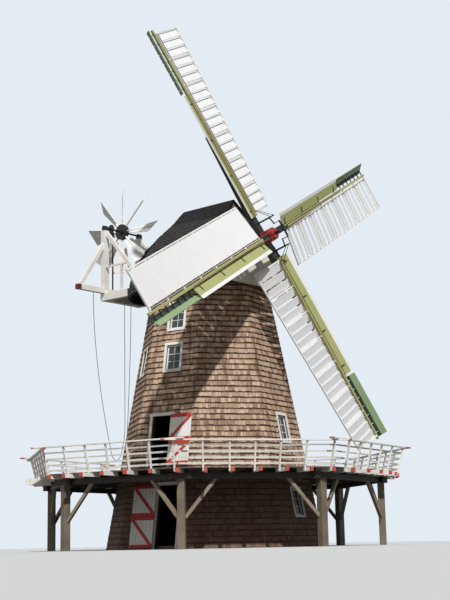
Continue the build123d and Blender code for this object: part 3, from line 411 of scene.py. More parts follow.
paint = {
    "white": (0.9, 0.87, 0.81),
    "breast": (0.78, 0.73, 0.62),
    "shutterWhite": (0.89, 0.88, 0.86),
    "red": (0.52, 0.03, 0.02),
    "endRed": (0.62, 0.075, 0.045),
    "outriggerRed": (0.12, 0.02, 0.012),
    "hubRed": (0.5, 0.03, 0.02),
    "rod": (0.22, 0.09, 0.05),
    "olive": (0.42, 0.43, 0.17),
    "green": (0.27, 0.37, 0.19),
    "greenShade": (0.02, 0.032, 0.018),
    "shingle": (0.64, 0.46, 0.32),
    "shingleDark": (0.3, 0.18, 0.11),
    "shingleShade": (0.075, 0.032, 0.018),
    "capShingle": (0.026, 0.02, 0.017),
    "capShingleDark": (0.012, 0.009, 0.008),
    "wallBehind": (0.05, 0.03, 0.02),
    "timber": (0.04, 0.03, 0.024),
    "post": (0.22, 0.17, 0.12),
    "brace": (0.3, 0.24, 0.17),
    "stock": (0.035, 0.034, 0.03),
    "deck": (0.1, 0.075, 0.058),
    "deckDark": (0.09, 0.07, 0.05),
    "inside": (0.16, 0.1, 0.06),
    "black": (0.018, 0.018, 0.018),
    "rope": (0.045, 0.05, 0.036),
}
# What each of them turns to where it is dirty
soil = {
    "white": (0.4, 0.35, 0.27),
    "timberWhite": (0.42, 0.36, 0.28),
    "breast": (0.3, 0.29, 0.26),
    "red": (0.25, 0.05, 0.03),
    "endRed": (0.5, 0.2, 0.12),
    "outriggerRed": (0.1, 0.04, 0.03),
    "hubRed": (0.08, 0.02, 0.015),
    "olive": (0.2, 0.22, 0.09),
    "green": (0.1, 0.15, 0.07),
    "greenShade": (0.01, 0.012, 0.01),
    "shingle": (0.24, 0.14, 0.09),
    "capShingle": (0.02, 0.015, 0.012),
    "timber": (0.03, 0.022, 0.016),
    "post": (0.05, 0.035, 0.025),
    "brace": (0.1, 0.075, 0.05),
    "stock": (0.08, 0.06, 0.045),
    "iron": (0.06, 0.03, 0.02),
}
evenGrain = (3, 3, 3)
capForward, capAcross = capPoints(np.array([[1.0, 0, 0], [0, 1.0, 0]]))
tilt = math.radians(mill["shaftTilt"])
shaftForward = capPoints(np.array([[math.cos(tilt), 0, math.sin(tilt)]]))[0]
hubPlace = capPoints(np.array([[mill["hubForward"], 0, mill["hubHeight"]]]))[0]

whitePaint = finish("whitePaint", paint["white"], dirt=0.7, grain=0.12, dirtColour=soil["white"],
                    bump=0.1)
breastPaint = finish("breastPaint", paint["breast"], dirt=0.8, grain=0.15, dirtColour=soil["breast"],
                     bump=0.1, board=0.16, across=tuple(capAcross))
shutterPaint = finish("shutterPaint", paint["shutterWhite"], dirt=0.15, grain=0.06, bump=0.06)
endPaint = finish("endPaint", paint["endRed"], dirt=0.5, grain=0.4, dirtColour=soil["endRed"], bump=0.1)
outriggerPaint = finish("outriggerPaint", paint["outriggerRed"], dirt=0.5, grain=0.4,
                        dirtColour=soil["outriggerRed"])
olivePaint = finish("olivePaint", paint["olive"], dirt=0.4, grain=0.2, dirtColour=soil["olive"])
# Shingles: painted shadow under each butt above, and painted shade below the gallery
shingleWood = finish("shingleWood", paint["shingle"], dirt=0.8, grain=0.5, dirtColour=soil["shingle"],
                     scale=2.0, stretch=(8, 8, 0.8), bump=0.4, roughness=0.85,
                     toneColour=paint["shingleDark"], shadeColour=paint["shingleShade"],
                     shadeStart=0.66, galleryShade=0.75)
capWood = finish("capWood", paint["capShingle"], dirt=0.3, grain=0.6, dirtColour=soil["capShingle"],
                 scale=2.0, stretch=evenGrain, bump=0.4, roughness=0.8,
                 toneColour=paint["capShingleDark"])
wallBoards = finish("wallBoards", paint["wallBehind"], dirt=0.2, grain=0.4)
darkTimber = finish("darkTimber", paint["timber"], dirt=0.5, grain=0.6, dirtColour=soil["timber"],
                    bump=0.4)
postTimber = finish("postTimber", paint["post"], dirt=1.2, grain=0.9, dirtColour=soil["post"], bump=0.5)
braceTimber = finish("braceTimber", paint["brace"], dirt=0.9, grain=0.6, dirtColour=soil["brace"],
                     stretch=evenGrain, bump=0.4)
stockTimber = finish("stockTimber", paint["stock"], dirt=0.4, grain=0.6, dirtColour=soil["stock"],
                     stretch=evenGrain, bump=0.3)
deckWood = finish("deckWood", paint["deck"], dirt=0.6, grain=0.5, stretch=evenGrain, bump=0.3,
                  toneColour=paint["deckDark"])
innerWood = finish("innerWood", paint["inside"], dirt=0.4, grain=0.4, board=0.2)
blackIron = finish("blackIron", paint["black"], dirt=0.4, grain=0.3, dirtColour=soil["iron"],
                   stretch=evenGrain, metallic=0.3, roughness=0.5)
rodIron = finish("rodIron", paint["rod"], dirt=0.5, grain=0.4, dirtColour=soil["iron"], roughness=0.6)
ropeFibre = finish("ropeFibre", paint["rope"], dirt=0.3, grain=0.5, stretch=(20, 20, 20))
windowGlass = glassFinish()

# Coats of the pieces that have two, and the painted shade of the air brakes
coatsAndShade = {
    "timber": {"colour": paint["timber"], "dirt": 0.5, "grain": 0.5, "dirtColour": soil["timber"]},
    "white": {"colour": paint["white"], "dirt": 0.6, "grain": 0.15, "dirtColour": soil["timberWhite"]},
    "red": {"colour": paint["red"], "dirt": 0.4, "grain": 0.3, "dirtColour": soil["red"]},
    "black": {"colour": paint["black"], "dirt": 0.4, "grain": 0.3, "dirtColour": soil["iron"],
              "stretch": evenGrain},
    "hubRed": {"colour": paint["hubRed"], "dirt": 0.5, "grain": 0.3, "dirtColour": soil["hubRed"],
               "stretch": evenGrain},
    "green": {"colour": paint["green"], "dirt": 0.5, "grain": 0.3, "dirtColour": soil["green"]},
    "greenShade": {"colour": paint["greenShade"], "dirt": 0.4, "grain": 0.4,
                   "dirtColour": soil["greenShade"]},
}
# Where one colour meets the other: how far out on the joists, how far forward on the cap beams, how
# far off the wall on the leaves, and how far ahead of the hub's middle on the poll
colourEdge = {"joists": 6.12, "capBeams": -3.45, "leaves": 0.1205, "poll": -0.02}

# The joists are white farther out than the edge and dark nearer the tower
joistPaint = twoFinish("joistPaint", lambda tree: beyondRadius(tree, colourEdge["joists"]),
                       coatsAndShade["timber"], coatsAndShade["white"])
sheerPaint = twoFinish(
    "sheerPaint", lambda tree: beyondPlane(tree, capForward * colourEdge["capBeams"], -capForward),
    coatsAndShade["timber"], coatsAndShade["white"])
# The leaves' ledges and braces stand before their boards, away from the wall
doorNormal = np.array([0, -math.cos(wallLean), math.sin(wallLean)])
doorPlane = np.array([0, -mill["baseRadius"] * flatShare, 0]) + doorNormal * colourEdge["leaves"]
leafPaint = twoFinish("leafPaint", lambda tree: beyondPlane(tree, doorPlane, doorNormal),
                      coatsAndShade["white"], coatsAndShade["red"], board=0.14)
hubPaint = twoFinish(
    "hubPaint", lambda tree: beyondPlane(tree, hubPlace + shaftForward * colourEdge["poll"], shaftForward),
    coatsAndShade["black"], coatsAndShade["hubRed"], roughness=0.45)

# An air brake is dark from its pin to the whip: painted shade, and the comb of irons that stands
# there; the pin is in the arm's axes
airBrake = {"pin": (-0.33, 7.5, 0.04), "lean": 45}


# Green paint and a painted shade, divided at the pin, across the line that leans from it to the whip.
def brakeGreenAndShade(arm):
    lean = math.radians(airBrake["lean"])
    pin = np.array([airBrake["pin"]])
    toWhip = np.array([[math.cos(lean), 0, -math.sin(lean)]])
    origin = sailPoints(pin, arm)[0]
    inward = sailPoints(pin + toWhip, arm)[0] - origin
    return twoFinish(f"brakeGreenAndShade{arm + 1}", lambda tree: beyondPlane(tree, origin, inward),
                     coatsAndShade["green"], coatsAndShade["greenShade"])


brakeGreensAndShade = [brakeGreenAndShade(arm) for arm in range(4)]
print("materials made")

# Materials of the construction's own nodes, gathered by finish; what is in no list is wall boards
nodeFinish = [
    (whitePaint, ["window_frames", "door_casings", "balusters", "gallery_rails", "outrigger",
                  "fan_posts", "fan_stays", "stage_rails", "fan_stocks"]),
    (shutterPaint, ["fan_vanes", "sail_frames", "shutters"]),
    (leafPaint, ["lower_door_leaf", "upper_door_leaf", "stage_low_leaf", "stage_high_leaf"]),
    (breastPaint, ["front_wall"]),
    (windowGlass, ["window_panes"]),
    (joistPaint, ["gallery_joists", "corner_beams"]),
    (sheerPaint, ["cap_beams"]),
    (darkTimber, ["ring_beams", "curb_ring", "cap_ring"]),
    (postTimber, ["gallery_posts"]),
    (braceTimber, ["gallery_braces"]),
    (deckWood, ["gallery_deck", "fan_stage_floor"]),
    (capWood, ["cap_roof"]),
    (innerWood, ["floors"]),
    (blackIron, ["shaft_bearings", "drive_shaft", "fan_bearings", "fan_hub", "spider", "links",
                 "rope_holders", "door_hinges", "sail_irons", "cross_shafts"]),
    (hubPaint, ["windshaft"]),
    (rodIron, ["sail_rods"]),
    (olivePaint, ["leading_boards", "whips"]),
    (stockTimber, ["stocks"]),
    (ropeFibre, ["winding_rope", "brake_rope"]),
]
nodeFinish += [(material, [f"air_brake_{arm + 1}"]) for arm, material in enumerate(brakeGreensAndShade)]
finishOf = {name: material for material, names in nodeFinish for name in names}
for name, node in nodes.items():
    node.data.materials.clear()
    node.data.materials.append(finishOf.get(name, wallBoards))

# Ropes behind the outrigger: the route's points are across and up, in the cap's axes. Each hanging
# side sways across by a power of its share of the way down.

ropes = {
    "radius": 0.012,
    "back": -5.1,
    "start": 10.4099,
    "loopStart": -1.44,
    "loopSway": 0.96,
    "loopCurve": 1.85,
    "loopSteps": 18,
    "loopBend": 4.06,
    "loopBottom": [(-0.48, 4.06), (-0.43, 3.85), (-0.33, 3.65), (-0.19, 3.55), (-0.04, 3.58),
                   (0.08, 3.73), (0.17, 3.95), (0.24, 4.21), (0.3, 4.5), (0.345, 4.83)],
    "loopEnd": 0.35,
    "loopCorner": 5.16,
    "loopHead": 0.144,
    "loopLength": 14.094,
    "brakeStart": 0.73,
    "brakeSway": -0.26,
    "brakeCurve": 1.6,
    "brakeSteps": 17,
    "brakeEnd": 4.6,
    "brakeLength": 5.817,
}


# A round rope whose line is a spline with the route's points as its control points.
def ropeCurve(name, route, node):
    spots = capPoints(np.array([(ropes["back"], w, z) for w, z in route]))
    curve = bpy.data.curves.new(name, "CURVE")
    curve.dimensions = "3D"
    spline = curve.splines.new("NURBS")
    spline.points.add(len(spots) - 1)
    spline.points.foreach_set("co", np.column_stack([spots, np.ones(len(spots))]).ravel())
    spline.order_u = 3
    spline.use_endpoint_u = True
    spline.resolution_u = 4
    curve.bevel_depth = ropes["radius"]
    curve.bevel_resolution = 2
    curve.use_fill_caps = True
    curve.materials.append(ropeFibre)
    rope = newObject(name, curve)
    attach(rope, "cap")
    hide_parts(node)


# Points down one hanging side, from its holder to a level.
def hangingSide(across, sway, curve, steps, end):
    top = ropes["start"]
    shares = [i / steps for i in range(steps + 1)]
    return [(across + sway * share ** curve, top - share * (top - end)) for share in shares]


# The winding rope's loop, down and up again, and the brake rope's one side.
def makeRopes():
    r = ropes
    top = r["start"]
    loop = hangingSide(r["loopStart"], r["loopSway"], r["loopCurve"], r["loopSteps"], r["loopBend"])
    # The bottom starts with the side's last point, and the straight side has a point above the bottom
    # and one under its holder
    loop = loop[:-1] + r["loopBottom"]
    loop += [(r["loopEnd"], level) for level in (r["loopCorner"], top - r["loopHead"], top)]
    ropeCurve("winding_rope_line", loop, "winding_rope")
    brake = hangingSide(r["brakeStart"], r["brakeSway"], r["brakeCurve"], r["brakeSteps"], r["brakeEnd"])
    ropeCurve("brake_rope_line", brake, "brake_rope")


makeRopes()
print("ropes hung")

# Meshes

# The corners of a block's faces: back, front, low, right, high, left
blockFaces = np.array([[0, 3, 2, 1], [4, 5, 6, 7], [0, 1, 5, 4],
                       [1, 2, 6, 5], [2, 3, 7, 6], [3, 0, 4, 7]])
blockCorners = 8


# A mesh that rides on a body; tone is a number for each face and share one for each face corner.
def newPiece(name, points, faces, body, material, tone=None, share=None):
    mesh = bpy.data.meshes.new(name)
    mesh.from_pydata(np.asarray(points, float).tolist(), [], np.asarray(faces).tolist())
    for key, domain, values in (("tone", "FACE", tone), ("share", "CORNER", share)):
        if values is not None:
            mark = mesh.attributes.new(key, "FLOAT", domain)
            mark.data.foreach_set("value", np.asarray(values, np.float32))
    mesh.update()
    mesh.materials.append(material)
    piece = newObject(name, mesh)
    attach(piece, body)
    return piece


# Rings of block corners from eight corners whose coordinates are arrays of one value for each block.
def ringsOf(corners):
    return np.stack([np.stack(corner, -1) for corner in corners], 1)


# Closed six-sided solids: n rings of 8 corners become 8n points and 6n faces.
def blocks(rings):
    first = blockCorners * np.arange(len(rings))
    faces = (blockFaces[None] + first[:, None, None]).reshape(-1, 4)
    return rings.reshape(-1, 3), faces


# One tone for all the faces of each block.
def blockTones(tones):
    return np.repeat(tones, len(blockFaces))


# For each face corner of some shingles: 0 at the butt and 1 at the top of the front, 1 elsewhere.
def upShare(count):
    share = np.ones((count, *blockFaces.shape))
    # High shares get painted shadow: the top of the front, under the butt above, and the other faces
    share[:, 1, :2] = 0
    return share.ravel()


# The eight corners of an upright box from its lowest and highest.
def boxRing(low, high):
    (x0, y0, z0), (x1, y1, z1) = low, high
    return np.array([(x0, y0, z0), (x1, y0, z0), (x1, y1, z0), (x0, y1, z0),
                     (x0, y0, z1), (x1, y0, z1), (x1, y1, z1), (x0, y1, z1)], float)


# Shingles on the walls

shingles = {
    "exposure": 0.21,
    "width": (0.08, 0.19),
    "gap": 0.008,
    "butt": (0.024, 0.04),
    "thin": 0.006,
    "jitter": 0.016,
    "cornerReach": 0.01,
    "lap": 0.01,
    "leastWide": 0.03,
    "leastHigh": 0.02,
    "ground": 0.005,
    "lightness": 1.8,
}
# Windows: wall, middle, level of the middle; the shingles stop at their casings
windows = [
    (0, 0, 6.95), (0, 0.02, 8.53), (4, 0, 6.95), (4, 0, 8.53), (7, 0, 6.98), (3, 0, 6.98),
    (2, 0.06, 4.32), (2, 0.1, 1.6), (6, 0, 4.32), (6, 0, 1.6),
]
casing = {"half": 0.4, "high": 0.57}
# Doorways with their casings and leaves: wall, left, right, lowest and highest level
doorways = [(0, -0.19, 0.91, -0.1, 2.35), (0, -0.76, 0.27, 2.79, 4.88)]


# Openings of a wall as left, right, low and high edges in its own axes.
def wallHoles(side):
    holes = []
    half, high = casing["half"], casing["high"]
    for wall, middle, level in windows:
        if wall == side:
            at = slopeLevel(level)
            holes.append((middle - half, middle + half, at - high, at + high))
    for wall, left, right, low, high in doorways:
        if wall == side:
            holes.append((left, right, slopeLevel(low), slopeLevel(high)))
    return holes


# Ends of the shingles of one course: running sums of random widths, with the breaks put in.
def courseCuts(left, right, sizes, breaks=()):
    least = shingles["leastWide"]
    widths = rng.uniform(*sizes, int((right - left) / sizes[0]) + 2)
    cuts = left + np.cumsum(widths) - widths[0] * rng.random()
    cuts = cuts[(cuts > left + least) & (cuts < right - least)]
    for at in breaks:
        cuts = cuts[np.abs(cuts - at) > least]
    return np.sort(np.concatenate([[left], cuts, [at for at in breaks if left < at < right], [right]]))


# A wall's shingles as left, right, low and high edges: a wall's half width falls straight from its
# foot to its top, and each course is cut at the openings it meets.
def wallCells(side):
    height = slopeLevel(mill["towerHeight"])
    holes = wallHoles(side)
    cells = []
    for row in range(int(height / shingles["exposure"]) + 1):
        low = row * shingles["exposure"]
        high = min(low + shingles["exposure"] + shingles["lap"], height)
        radius = mill["baseRadius"] - (mill["baseRadius"] - mill["topRadius"]) * low / height
        half = radius * math.sin(halfTurn) + shingles["cornerReach"]
        crossed = [h for h in holes if h[3] > low and h[2] < high]
        edges = sorted({edge for h in crossed for edge in h[:2]})
        cuts = courseCuts(-half, half, shingles["width"], edges)
        left, right = cuts[:-1], cuts[1:]
        bottom = low + rng.uniform(-1, 1, len(left)) * shingles["jitter"]
        top = np.full(len(left), high)
        keep = np.ones(len(left), bool)
        for x0, x1, y0, y1 in crossed:
            middle = (left + right) / 2
            inside = (middle > x0) & (middle < x1)
            if low < y0:
                top = np.where(inside, np.minimum(top, y0), top)
            elif high > y1:
                bottom = np.where(inside, np.maximum(bottom, y1), bottom)
            else:
                keep &= ~inside
        keep &= top - bottom > shingles["leastHigh"]
        cells.append(np.stack([left, right, bottom, top], 1)[keep])
    return np.concatenate(cells)


# A wall's shingles: thin wedges, each a ring of four corners on the wall and one off it, thick at
# the butt and thin at the top. A power of their tones keeps most of them light.
def shingleWall(side):
    left, right, bottom, top = wallCells(side).T
    n = len(left)
    x0, x1 = left + shingles["gap"] / 2, right - shingles["gap"] / 2
    y0, y1 = np.maximum(bottom, shingles["ground"]), top
    butt = rng.uniform(*shingles["butt"], n)
    flat, thin = np.zeros(n), np.full(n, shingles["thin"])
    points, faces = blocks(ringsOf([
        (x0, y0, flat), (x1, y0, flat), (x1, y1, flat), (x0, y1, flat),
        (x0, y0, butt), (x1, y0, butt), (x1, y1, thin), (x0, y1, thin)]))
    tones = blockTones(rng.random(n) ** shingles["lightness"])
    return wallPoints(points, side), faces, tones, upShare(n)


# Several sets of points, faces, tones and shares as one.
def joined(parts):
    points, faces, tones, shares = zip(*parts)
    shift = np.cumsum([0] + [len(p) for p in points[:-1]])
    faces = [f + first for f, first in zip(faces, shift)]
    return tuple(np.concatenate(kind) for kind in (points, faces, tones, shares))


# Each piece takes a wall and the one opposite
for pair in range(mill["sides"] // 2):
    points, faces, tone, share = joined([shingleWall(pair), shingleWall(pair + mill["sides"] // 2)])
    newPiece(f"wall_shingles_{pair + 1}", points, faces, "tower", shingleWood, tone, share)
print("walls shingled")

# Shingles on the cap

roof = {
    "base": 9.75,
    "half": 2.7,
    "fore": 5.0,
    "aft": 3.6,
    "rear": -3.5,
    "places": [-3.5, -3.08, -2.6, -2.08, -1.76, -1.56, -1.3, -0.9, -0.45,
               0, 0.45, 0.9, 1.35, 1.8, 2.25, 2.9],
    "ridge": [(-3.6, 12.02), (-3.08, 12.29), (-2.6, 12.49), (-2.08, 12.7), (-1.76, 12.91),
              (-1.56, 13.12), (-1.3, 13.31), (2.9, 13.31)],
    "arch": [(1.0, 0.0), (0.95, 0.18), (0.85, 0.37), (0.62, 0.6), (0.31, 0.785), (0.0, 1.0)],
    "frontFoot": 2.45,
    "frontLean": 17.5,
    "frontDrop": 0.1,
    "frontPast": 0.02,
    "courses": 24,
    "lap": 0.1,
    "width": (0.1, 0.22),
    "halfGap": 0.002,
    "butt": (0.03, 0.042),
    "thin": 0.014,
    "sink": 0.01,
    "sternCourses": 11,
    "sternWidth": (0.1, 0.2),
    "sternButt": 0.03,
    "sternThin": 0.01,
    "sternWaist": 0.35,
}
archSteps = 101
runSteps = 400


# A smooth line through some points: cubic pieces by chord length whose bends agree at the points
# and vanish at the ends.
def splineThrough(knots, count):
    knots = np.array(knots)
    length = np.concatenate([[0], np.cumsum(np.linalg.norm(np.diff(knots, axis=0), axis=1))])
    step = np.diff(length)[:, None]
    size = len(knots)
    system = np.eye(size)
    bend = np.zeros_like(knots)
    slope = np.diff(knots, axis=0) / step
    for i in range(1, size - 1):
        system[i, i - 1:i + 2] = step[i - 1, 0], 2 * (step[i - 1, 0] + step[i, 0]), step[i, 0]
        bend[i] = 6 * (slope[i] - slope[i - 1])
    bend = np.linalg.solve(system, bend)
    at = np.linspace(0, length[-1], count)
    i = np.clip(np.searchsorted(length, at, side="right") - 1, 0, size - 2)
    left, right = (length[i + 1] - at)[:, None], (at - length[i])[:, None]
    h = step[i]
    return ((bend[i] * left ** 3 + bend[i + 1] * right ** 3) / (6 * h)
            + (knots[i] / h - bend[i] * h / 6) * left + (knots[i + 1] / h - bend[i + 1] * h / 6) * right)


# The arch's half width and height by its share of the way up, and the half width of each frame:
# an ellipse with its middle at the tower's axis, longer ahead than behind
archPoints = splineThrough(roof["arch"], archSteps)
archShare = np.linspace(0, 1, archSteps)
roofPlaces = np.array(roof["places"])
roofReach = np.where(roofPlaces > 0, roof["fore"], roof["aft"])
roofHalves = roof["half"] * np.sqrt(1 - (roofPlaces / roofReach) ** 2)
ridgeLine = np.array(roof["ridge"])


# A point of the cap's outside: its half width and its rise times the arch, straight between the
# frames, plus a step along its normal, which crosses short steps along and up the surface.
def roofPoint(forward, share, hand, off=0.0):
    def surface(u, s):
        w = np.interp(s, archShare, archPoints[:, 0])
        z = np.interp(s, archShare, archPoints[:, 1])
        half = np.interp(u, roofPlaces, roofHalves)
        ridge = np.interp(u, roofPlaces, np.interp(roofPlaces, *ridgeLine.T))
        return np.stack([u, hand * half * w, roof["base"] + (ridge - roof["base"]) * z], -1)
    step = 1e-3
    here = surface(forward, share)
    along = surface(forward + step, share) - surface(forward - step, share)
    up = surface(forward, np.minimum(share + step, 1)) - surface(forward, np.maximum(share - step, 0))
    normal = np.cross(along, up) * -hand
    normal /= np.linalg.norm(normal, axis=-1, keepdims=True)
    return here + normal * np.asarray(off)[..., None]


# One flank in courses from its foot to the ridge, each course cut where the front leans back.
def shingleRoof(hand):
    parts = []
    leanBack = math.tan(math.radians(roof["frontLean"]))
    for row in range(roof["courses"]):
        low = row / roof["courses"]
        high = min(1.0, (row + 1 + roof["lap"]) / roof["courses"])
        rise = roofPoint(np.array([1.0]), np.array([low]), hand)[0, 2] - roof["base"]
        front = roof["frontFoot"] - leanBack * (rise + roof["frontDrop"])
        u = np.linspace(roof["rear"], front + roof["frontPast"], runSteps)
        line = roofPoint(u, np.full(runSteps, low), hand)
        run = np.concatenate([[0], np.cumsum(np.linalg.norm(np.diff(line, axis=0), axis=1))])
        cuts = np.interp(courseCuts(0, run[-1], roof["width"]), run, u)
        u0, u1 = cuts[:-1] + roof["halfGap"], cuts[1:] - roof["halfGap"]
        # On the left flank the corners run the other way, so that the faces point outwards there too
        if hand > 0:
            u0, u1 = u1, u0
        n = len(u0)
        s0, s1 = np.full(n, low), np.full(n, high)
        butt = rng.uniform(*roof["butt"], n)
        flat, thin = np.full(n, -roof["sink"]), np.full(n, roof["thin"])
        ring = [(u0, s0, flat), (u1, s0, flat), (u1, s1, flat), (u0, s1, flat),
                (u0, s0, butt), (u1, s0, butt), (u1, s1, thin), (u0, s1, thin)]
        points, faces = blocks(np.stack([roofPoint(a, b, hand, off) for a, b, off in ring], 1))
        parts.append((points, faces, blockTones(rng.random(n)), upShare(n)))
    return joined(parts)


# The flat end of the cap behind the last frame: courses of shingles as wide as the arch there.
def shingleStern():
    count = roof["sternCourses"]
    exposure = (np.interp(roof["rear"], *ridgeLine.T) - roof["base"]) / count
    cells = []
    for row in range(count):
        waist = (row + roof["sternWaist"]) / count
        width = roofHalves[0] * np.interp(waist, archPoints[:, 1], archPoints[:, 0])
        cuts = courseCuts(-width, width, roof["sternWidth"])
        low = np.full(len(cuts) - 1, roof["base"] + row * exposure)
        cells.append(np.stack([cuts[:-1], cuts[1:], low, low + exposure], 1))
    w0, w1, z0, z1 = np.concatenate(cells).T
    rear = np.full(len(w0), roof["rear"])
    butt, thin = rear - roof["sternButt"], rear - roof["sternThin"]
    points, faces = blocks(ringsOf([
        (rear, w1, z0), (rear, w0, z0), (rear, w0, z1), (rear, w1, z1),
        (butt, w1, z0), (butt, w0, z0), (thin, w0, z1), (thin, w1, z1)]))
    return points, faces, blockTones(rng.random(len(w0))), upShare(len(w0))


points, faces, tone, share = joined([shingleRoof(-1), shingleRoof(1), shingleStern()])
newPiece("cap_shingles", capPoints(points), faces, "cap", capWood, tone, share)
print("cap shingled")

# Gallery: deck boards, and the painted ends of its timbers and rails

gallery = {
    "deckTop": 2.64,
    "deckThick": 0.04,
    "deckInner": 3.391,
    "deckOuter": 6.436,
    "boardCount": 20,
    "boardGap": 0.006,
    "mitreGap": 0.004,
    "joistCount": 6,
    "joistWide": 0.09,
    "cornerWide": 0.13,
    "joistBottom": 2.47,
    "joistReach": 7.03,
    "joistRed": 0.09,
    "bareSide": 7,
    "railReach": 6.69,
    "railWide": 0.14,
    "railTop": 3.574,
    "railThick": 0.045,
    "railOverrun": 0.48,
    "railRed": 0.1,
    "proud": 0.0025,
}


# Boards along each side, cut off at the mitres: a board's ends lie at its edges' distance times the
# tangent of half a side's angle.
def makeDeck():
    g = gallery
    edges = np.linspace(g["deckInner"], g["deckOuter"], g["boardCount"] + 1)
    near, far = edges[:-1], edges[1:] - g["boardGap"]
    slope = math.tan(halfTurn)
    high = np.full(len(near), g["deckTop"])
    low = high - g["deckThick"]
    x0, x1 = near * slope - g["mitreGap"], far * slope - g["mitreGap"]
    rings = ringsOf([
        (-x1, -far, low), (x1, -far, low), (x0, -near, low), (-x0, -near, low),
        (-x1, -far, high), (x1, -far, high), (x0, -near, high), (-x0, -near, high)])
    rings = np.concatenate([turnedZ(rings, k * 2 * halfTurn) for k in range(mill["sides"])])
    points, faces = blocks(rings)
    tones = blockTones(rng.random(len(rings)))
    piece = newPiece("deck_boards", points, faces, "tower", deckWood, tones)
    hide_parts("gallery_deck")


# Red sleeves, a hair proud of the timber, over the ends of the joists, corner beams and top rails.
def paintEnds():
    g = gallery
    p = g["proud"]
    rings = []
    for k in range(mill["sides"]):
        # The joists' ends of one side have lost their red
        for i in range(1 if k == g["bareSide"] else g["joistCount"]):
            wide = (g["cornerWide"] if i == 0 else g["joistWide"]) / 2 + p
            low = (-wide, -g["joistReach"] - p, g["joistBottom"] - p)
            high = (wide, -g["joistReach"] + g["joistRed"], g["deckTop"] - g["deckThick"] + p)
            rings.append(turnedZ(boxRing(low, high), (k - 0.5 + i / g["joistCount"]) * 2 * halfTurn))
        half = g["railReach"] * math.tan(halfTurn) + g["railOverrun"]
        level = g["railTop"] - (k % 2) * g["railThick"]
        for hand in (-1, 1):
            ends = sorted((hand * (half + p), hand * (half - g["railRed"])))
            low = (ends[0], -g["railReach"] - g["railWide"] / 2 - p, level - g["railThick"] - p)
            high = (ends[1], -g["railReach"] + g["railWide"] / 2 + p, level + p)
            rings.append(turnedZ(boxRing(low, high), k * 2 * halfTurn))
    points, faces = blocks(np.array(rings))
    newPiece("painted_ends", points, faces, "tower", endPaint)


makeDeck()
paintEnds()
print("gallery dressed")

# Window bars: they divide each window into columns and rows of panes

bars = {"size": 0.018, "columns": 2, "rows": 3, "width": 0.51, "height": 0.85, "set": -0.072,
        "crossDepth": 0.9}


# Upright bars and cross bars at equal shares of a window's width and height, the cross bars a
# little thinner than the upright ones they pass through.
def makeBars():
    rings = []
    half, depth = bars["size"] / 2, bars["set"]
    tall, wide = bars["height"] / 2, bars["width"] / 2
    cross = half * bars["crossDepth"]
    for wall, middle, level in windows:
        at = slopeLevel(level)
        for i in range(1, bars["columns"]):
            x = middle + bars["width"] * (i / bars["columns"] - 0.5)
            ring = boxRing((x - half, at - tall, depth - half), (x + half, at + tall, depth + half))
            rings.append(wallPoints(ring, wall))
        for i in range(1, bars["rows"]):
            y = at + bars["height"] * (i / bars["rows"] - 0.5)
            ring = boxRing((middle - wide, y - half, depth - cross),
                           (middle + wide, y + half, depth + cross))
            rings.append(wallPoints(ring, wall))
    points, faces = blocks(np.array(rings))
    newPiece("window_bars", points, faces, "tower", whitePaint)


makeBars()
print("window bars made")

# Sails: a white strip along the outer edge of each leading board

strip = {
    "whipHalf": 0.075,
    "boardThick": 0.025,
    "level": 0.03,
    "lean": 22,
    "inner": 0.35,
    "outer": 0.48,
    "start": 0.9,
    "end": 6.09,
    "proud": 0.003,
}


# A box in the leading board's own axes, outwards across the board, off its face and up the whip,
# leant with the board and put on each arm.
def makeStrips():
    s = strip
    lean = math.radians(s["lean"])
    origin = np.array([-s["whipHalf"] - s["boardThick"], 0, s["level"]])
    out = np.array([-math.cos(lean), 0, math.sin(lean)])
    face = np.array([math.sin(lean), 0, math.cos(lean)])
    half = s["boardThick"] / 2 + s["proud"]
    box = boxRing((s["inner"], -half, s["start"] - s["proud"]),
                  (s["outer"] + s["proud"], half, s["end"] + s["proud"]))
    ring = origin + box[:, :1] * out + box[:, 1:2] * face + box[:, 2:] * [0, 1, 0]
    points, faces = blocks(np.array([sailPoints(ring, arm) for arm in range(4)]))
    newPiece("leading_strips", points, faces, "sails", shutterPaint)


makeStrips()
print("sails striped")

# Fan stage: red sleeves on the ends of the outrigger

outrigger = {
    "middle": -4.87,
    "half": 0.1,
    "reach": 2.55,
    "low": 10.3403,
    "high": 10.5403,
    "red": 0.16,
    "proud": 0.0025,
}


# A box round each end, a hair proud of the timber, in the cap's axes.
def paintOutrigger():
    o = outrigger
    half = o["half"] + o["proud"]
    rings = []
    for hand in (-1, 1):
        ends = sorted((hand * (o["reach"] + o["proud"]), hand * (o["reach"] - o["red"])))
        low = (o["middle"] - half, ends[0], o["low"] - o["proud"])
        high = (o["middle"] + half, ends[1], o["high"] + o["proud"])
        rings.append(boxRing(low, high))
    points, faces = blocks(np.array(rings))
    newPiece("outrigger_ends", capPoints(points), faces, "cap", outriggerPaint)


paintOutrigger()
print("outrigger painted")

# Lamps, world and floor

lamps = {
    "sun": {"direction": (-0.47, 0.55, -0.69), "strength": 3.1, "angle": 1.5},
    "fill": {"direction": (0.55, 0.75, -0.3), "strength": 0.2, "angle": 40.0},
}
studio = {
    "skyLight": (0.85, 0.88, 0.95),
    "strength": 0.24,
    "backdrop": (0.78, 0.84, 0.9),
    "floor": (0.7, 0.7, 0.68),
    "floorBounce": (0.16, 0.16, 0.14),
    "floorRoughness": 0.9,
    "floorHalf": 120.0,
}


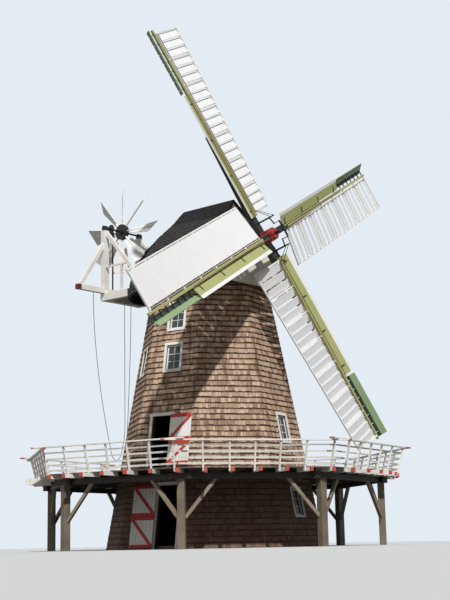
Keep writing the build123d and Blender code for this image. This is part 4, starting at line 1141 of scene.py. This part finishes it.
# A far lamp that shines along a direction.
def makeLamp(name, direction, strength, angle):
    data = bpy.data.lights.new(name, "SUN")
    data.energy = strength
    data.angle = math.radians(angle)
    lamp = newObject(name, data)
    lamp.rotation_mode = "QUATERNION"
    lamp.rotation_quaternion = Vector(direction).to_track_quat("-Z", "Y")


# Camera, glossy and transmission rays see a pale backdrop, and the object gets no more light from it.
def paleWhenSeen(tree, output, plain, seen):
    path = addNode(tree, "ShaderNodeLightPath").outputs
    rays = mathNode(tree, "MAXIMUM", path["Is Camera Ray"], path["Is Glossy Ray"])
    rays = mathNode(tree, "MAXIMUM", rays, path["Is Transmission Ray"])
    tree.links.new(outputOf(tree, "ShaderNodeMixShader", rays, plain, seen), output)


# The world's light and backdrop.
def makeWorld():
    world = bpy.data.worlds.new("studio")
    bpy.context.scene.world = world
    bpy.context.scene.view_settings.view_transform = "Standard"
    world.use_nodes = True
    tree = world.node_tree
    plain = tree.nodes["Background"]
    plain.inputs["Color"].default_value = (*studio["skyLight"], 1)
    plain.inputs["Strength"].default_value = studio["strength"]
    seen = outputOf(tree, "ShaderNodeBackground", (*studio["backdrop"], 1), 1.0)
    paleWhenSeen(tree, tree.nodes["World Output"].inputs["Surface"], plain.outputs[0], seen)


# A square floor at ground level: pale to the camera, with little light thrown up under the gallery.
def makeFloor():
    r = studio["floorHalf"]
    mesh = bpy.data.meshes.new("floor")
    mesh.from_pydata([(-r, -r, 0), (r, -r, 0), (r, r, 0), (-r, r, 0)], [], [(0, 1, 2, 3)])
    material = bpy.data.materials.new("paleFloor")
    material.use_nodes = True
    tree = material.node_tree
    shader = tree.nodes["Principled BSDF"].inputs
    path = addNode(tree, "ShaderNodeLightPath").outputs
    tint = mixColours(tree, path["Is Camera Ray"], (*studio["floorBounce"], 1), (*studio["floor"], 1))
    feed(tree, tint, shader["Base Color"])
    feed(tree, studio["floorRoughness"], shader["Roughness"])
    mesh.materials.append(material)
    floor = newObject("floor", mesh)


for name, lamp in lamps.items():
    makeLamp(name, lamp["direction"], lamp["strength"], lamp["angle"])
makeWorld()
makeFloor()
print("lamps and floor set")
